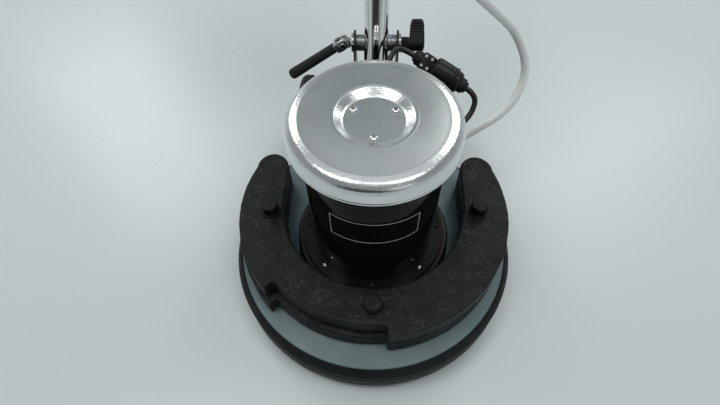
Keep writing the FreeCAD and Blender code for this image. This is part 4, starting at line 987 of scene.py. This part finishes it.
def rolled(place, axis, toward):
    """A frame with its Z along an axis and its X as near as it can be to another direction."""
    across = (toward - axis * toward.dot(axis)).normalized()
    return Matrix.Translation(place) @ Matrix((across, axis.cross(across), axis)).transposed().to_4x4()


def add_coupler():
    """In-line coupler: cord clamp with four screws, socket body, union ring, plug and ribbed glands."""
    place = rolled(COUPLER_START, COUPLER_AXIS, Vector((-0.1, -0.7, 0.7)))
    socket = turned("socket", [
        (4, 12), (11.6, 12, 1), (12.6, 13, 1), (12.6, 33, 1), (17, 36, 2), (18.5, 40, 2),
        (18.5, 61, 0.6), (18.1, 61.5, 0.3), (18.1, 62.5, 0.3), (18.5, 63, 0.4), (18.5, 67, 0.6),
        (17.9, 67.9, 0.3), (4, 67.9)],
        "coupler", place, closed=True)
    parts = [socket, prism("clamp", rounded_box(12.6, 13.2, 3), 14.5, 33, "coupler", place, bevel=1.4)]
    stud = [(0, -1), (2.4, -1), (2.4, 0.6, 0.4), (1.7, 1.1, 0.3), (1.2, 1.1), (1.0, 0.5), (0, 0.5)]
    for across in (-7.5, 7.5):
        for along in (18.5, 28.5):
            spot = place @ moved(12.6, across, along) @ ALONG_X
            parts.append(turned("stud", stud, "zinc", spot, steps=24))
    fitted(joined("coupler_socket_half", parts), "chassis", "coupler_socket", slot="black_plastic")
    plug = turned("coupler_plug_half", [
        (4, 68.1), (19.5, 68.1, 0.6), (19.5, 71, 0.8), (17, 71.8, 0.4), (16.7, 74, 0.5), (15.9, 79, 1),
        (13, 81.9, 2), (4, 81.9)], "coupler", place, closed=True)
    fitted(plug, "chassis", "coupler_plug", slot="black_plastic")
    out_of_motor = (LEAD_TO_MOTOR[-2] - LEAD_TO_MOTOR[-1]).normalized()
    gland = [(4.3, 0, 0), (11, 0, 0), (11.4, 0.6, 0.8), (11.4, 6.4, 0.8), (10.8, 7, 0), (9.2, 7.4, 0),
             (8.2, 10.4, 0), (6.6, 11.9, 0), (4.3, 11.9, 0)]
    glands = []
    for base, outward in ((COUPLER_START + COUPLER_AXIS * 0.012, -COUPLER_AXIS),
                          (COUPLER_START + COUPLER_AXIS * 0.082, COUPLER_AXIS),
                          (LEAD_TO_MOTOR[-1] - out_of_motor * 0.012, out_of_motor)):
        glands.append(fluted("gland", gland, 14, "plastic", at(base, outward), closed=True))
    fitted(joined("cable_gland_set", glands), "chassis", "cable_glands", slot="black_plastic")


# ---- tank, handle head, wheels

TANK_HALF_WIDTH, TANK_HALF_DEPTH, TANK_MIDDLE = 125, 73, -99
MOUTH = POLE @ moved(0, -100, 0)


def tank_rings(layers):
    """Rounded rectangles at (height, how far each lies inside the tank's largest outline)."""
    rings = []
    for height, inset in layers:
        corner = max(28 - inset * 0.6, 8)
        outline = rounded_box(TANK_HALF_WIDTH - inset, TANK_HALF_DEPTH - inset, corner, 9)
        rings.append([(p.x, p.y + TANK_MIDDLE, height) for p in outline])
    return rings


def add_tank():
    """Hollow moulding with a waisted middle, neck, level marks and two saddles screwed round the pole."""
    skinned = lofted("water_tank_moulding", tank_rings([
        (280, 15), (281.2, 8), (285, 2.6), (292, 0), (330, 0), (333, 0.6), (336, 2.2), (504, 2.2),
        (507, 0.6), (510, 0), (548, 0), (555, 2.6), (558.8, 8), (560, 15)]), "tank", POLE)
    inside = tank_rings([(284.5, 18), (290, 5.5), (300, 5), (540, 6.4), (550, 6.4), (555.5, 18)])
    carve(skinned, lofted("hollow", inside, "tank", POLE))
    carve(skinned, turned("mouth", [(0, 550), (40, 550), (40, 590), (0, 590)], "tank", MOUTH, steps=64))
    neck = [(40, 556), (44, 556), (44, 578, 0.8), (40, 578, 0.8)]
    parts = [skinned, turned("neck", neck, "tank", MOUTH, closed=True)]
    block = [(-40, -29), (40, -29), (40, 20), (36, 24), (-36, 24), (-40, 20)]
    for height in (320, 500):
        saddle = prism("saddle", block, height, height + 22, "tank", POLE, bevel=1.5)
        bore = [(0, height - 5), (19.1, height - 5), (19.1, height + 27), (0, height + 27)]
        carve(saddle, turned("bore", bore, "tank", POLE))
        parts.append(saddle)
        for across in (-30, 30):
            screw = cross_screw("screw", 4.6, 2.6, 6.5)
            screw.data.transform(POLE @ moved(across, 24, height + 11)
                                 @ turn_about("X", -90))
            parts.append(screw)
    for index in range(7):
        half = 9 if index % 3 == 0 else 5
        spot = POLE @ moved(96, -169.2, 350 + 22 * index) @ turn_about("X", 90)
        parts.append(prism("mark", oblong(half, 0.8), 0, 1.4, "tank", spot, bevel=0.3, steps=2))
    fitted(joined("water_tank_moulding", parts), "handle", "water_tank", slot="tank_plastic")
    cap = fluted("tank_cap_ribbed", [
        (0, 578.7, 0), (44.4, 578.7, 0), (44.4, 562.3, 0), (50.4, 562.3, 0), (51.7, 563.6, 1.8),
        (51.8, 571, 2.0), (51.7, 578.5, 1.8), (50.2, 580.8, 0.5), (47.5, 582.6, 0), (45.5, 583, 0),
        (43.5, 582.2, 0), (30, 581.8, 0), (27, 582.6, 0), (25, 582.6, 0), (22, 581.6, 0), (0, 581.6, 0)],
        32, "cap", MOUTH)
    fitted(cap, "cap", "tank_cap", slot="cap_plastic")


GRIP_START, BAR_HEIGHT = 95, 930


def add_head():
    """Lid with a raised rim and screws, and the two ribbed grips."""
    upright = POLE @ turn_about("X", 90)

    def slab(name, x, y, corner, middle, low, high, **edges):
        outline = [(p.x, p.y + middle) for p in rounded_box(x, y, corner)]
        return prism(name, outline, low, high, "plastic", upright, **edges)

    lid = slab("lid", 72, 53, 10, 913, 28.1, 36.2, bevel=2.4, steps=4)
    panel = slab("panel", 46, 30, 6, 917, 35, 38, bevel=1.2)
    carve(panel, slab("recess", 41, 25, 4, 917, 37.2, 45, bevel=0))
    parts = [lid, panel]
    for across in (-62, 62):
        for height in (870, 956):
            screw = cross_screw("screw", 3.8, 2.2)
            screw.data.transform(upright @ moved(across, height, 36))
            parts.append(screw)
    fitted(joined("control_lid_moulding", parts), "handle", "control_lid", slot="black_plastic")
    profile = [(12.6, 0, 0), (17, 0, 0), (17.9, 1, 0), (17.9, 4, 0), (17, 5.4, 0), (16.4, 6.4, 0.3)]
    for step in range(38):
        profile.append((16.5 + 0.35 * math.sin(step * 0.9), 8.5 + 3.1 * step, 0.5))
    profile += [(16.6, 126.5, 0.3), (17.4, 128.5, 0), (17.6, 131, 0), (17, 133.6, 0), (14, 135, 0),
                (0, 135, 0), (0, 130.6, 0), (12.6, 130.6, 0)]
    grips = []
    for side in (1, -1):
        place = POLE @ moved(GRIP_START * side, 0, BAR_HEIGHT) @ turn_about("Y", 90 * side)
        grips.append(fluted("grip", profile, 20, "grip", place, closed=True))
    fitted(joined("handle_grip_pair", grips), "handle", "handle_grips", slot="black_rubber")


def add_wheels():
    """Spoked centres with round openings and solid tyres with three shallow grooves."""
    hub = turned("hub", [
        (8.1, -15), (19, -15, 1), (20, -5, 3), (54, -5, 3), (54.6, -13, 1), (60, -13, 1), (60, 13, 1),
        (54.6, 13, 1), (54, 5, 3), (20, 5, 3), (19, 15, 1), (8.1, 15, 0.5)], "wheel", closed=True)
    opening = [(0, -9), (9, -9), (9, 9), (0, 9)]
    reach, spokes = 37, 6
    for index in range(spokes):
        angle = math.radians(360 / spokes * index)
        spot = moved(reach * math.cos(angle), reach * math.sin(angle), 0)
        carve(hub, turned("window", opening, "wheel", spot, steps=40))
        spoke = Matrix.Rotation(angle + math.pi / spokes, 4, "Z") @ moved(reach, 0, 0)
        ribs = [prism("rib", oblong(18, 1.6), low, high, "wheel", spoke, bevel=0.8, steps=2)
                for low, high in ((-11, -4.5), (4.5, 11))]
        hub = joined("hub", [hub] + ribs)
    tread = turned("tread", [
        (60.1, -14), (64, -15, 2), (71, -12.6, 8), (75, -6.4, 6), (75, -5.2), (73.6, -4.8), (73.6, -3.6),
        (75, -3.2), (75, -0.7), (73.6, -0.4), (73.6, 0.4), (75, 0.7), (75, 3.2), (73.6, 3.6), (73.6, 4.8),
        (75, 5.2), (75, 6.4, 6), (71, 12.6, 8), (64, 15, 2), (60.1, 14)], "tyre", closed=True, steps=128)
    for label in ("left", "right"):
        place = Matrix.Translation(Vector(joints[label + "_wheel_spin"]["pos_m"])) @ ALONG_X
        for template, name, node, slot in ((hub, "wheel_centre_", "wheel_hub_", "grey_plastic"),
                                           (tread, "tyre_tread_", "tyre_", "tyre_rubber")):
            piece = copied(template, place)
            piece.name = name + label
            fitted(piece, label + "_wheel", node + label, slot=slot)
    bpy.data.objects.remove(hub)
    bpy.data.objects.remove(tread)


# ---- carried-over CAD nodes

CARRIED = {
    "flange": ["motor_flange"],
    "frame": ["rear_frame"],
    "zinc": ["bracket_bolts", "draw_bolt", "clamp_washers", "wheel_axle"],
    "gear": ["ring_gear", "planet_gear_1", "planet_gear_2", "planet_gear_3", "planet_carrier",
             "motor_shaft"],
    "bearing": ["ball_bearings"],
    "core": ["stator_core", "motor_rotor"],
    "copper": ["stator_windings"],
    "aluminium": ["upper_end_shield", "drive_clutch"],
    "plastic": ["axle_caps", "pole_gland", "control_base", "switch_lever_left", "switch_lever_right",
                "hose_inlet"],
    "cap": ["valve_body"],
    "red": ["lock_button", "valve_tap"],
    "board": ["brush_block", "brush_clutch"],
    "mirror": ["handlebar"],
}


def dress_frame():
    for name, nodes in CARRIED.items():
        for node in nodes:
            skin(frame["nodes"][node], name)


for make in (add_camera, add_cords, add_studio, add_deck, add_bumper, add_brush, add_cover, add_screws,
             add_shell, add_plate, add_weights, add_pole, add_lever, add_release, add_coupler, add_tank,
             add_head, add_wheels, dress_frame):
    make()
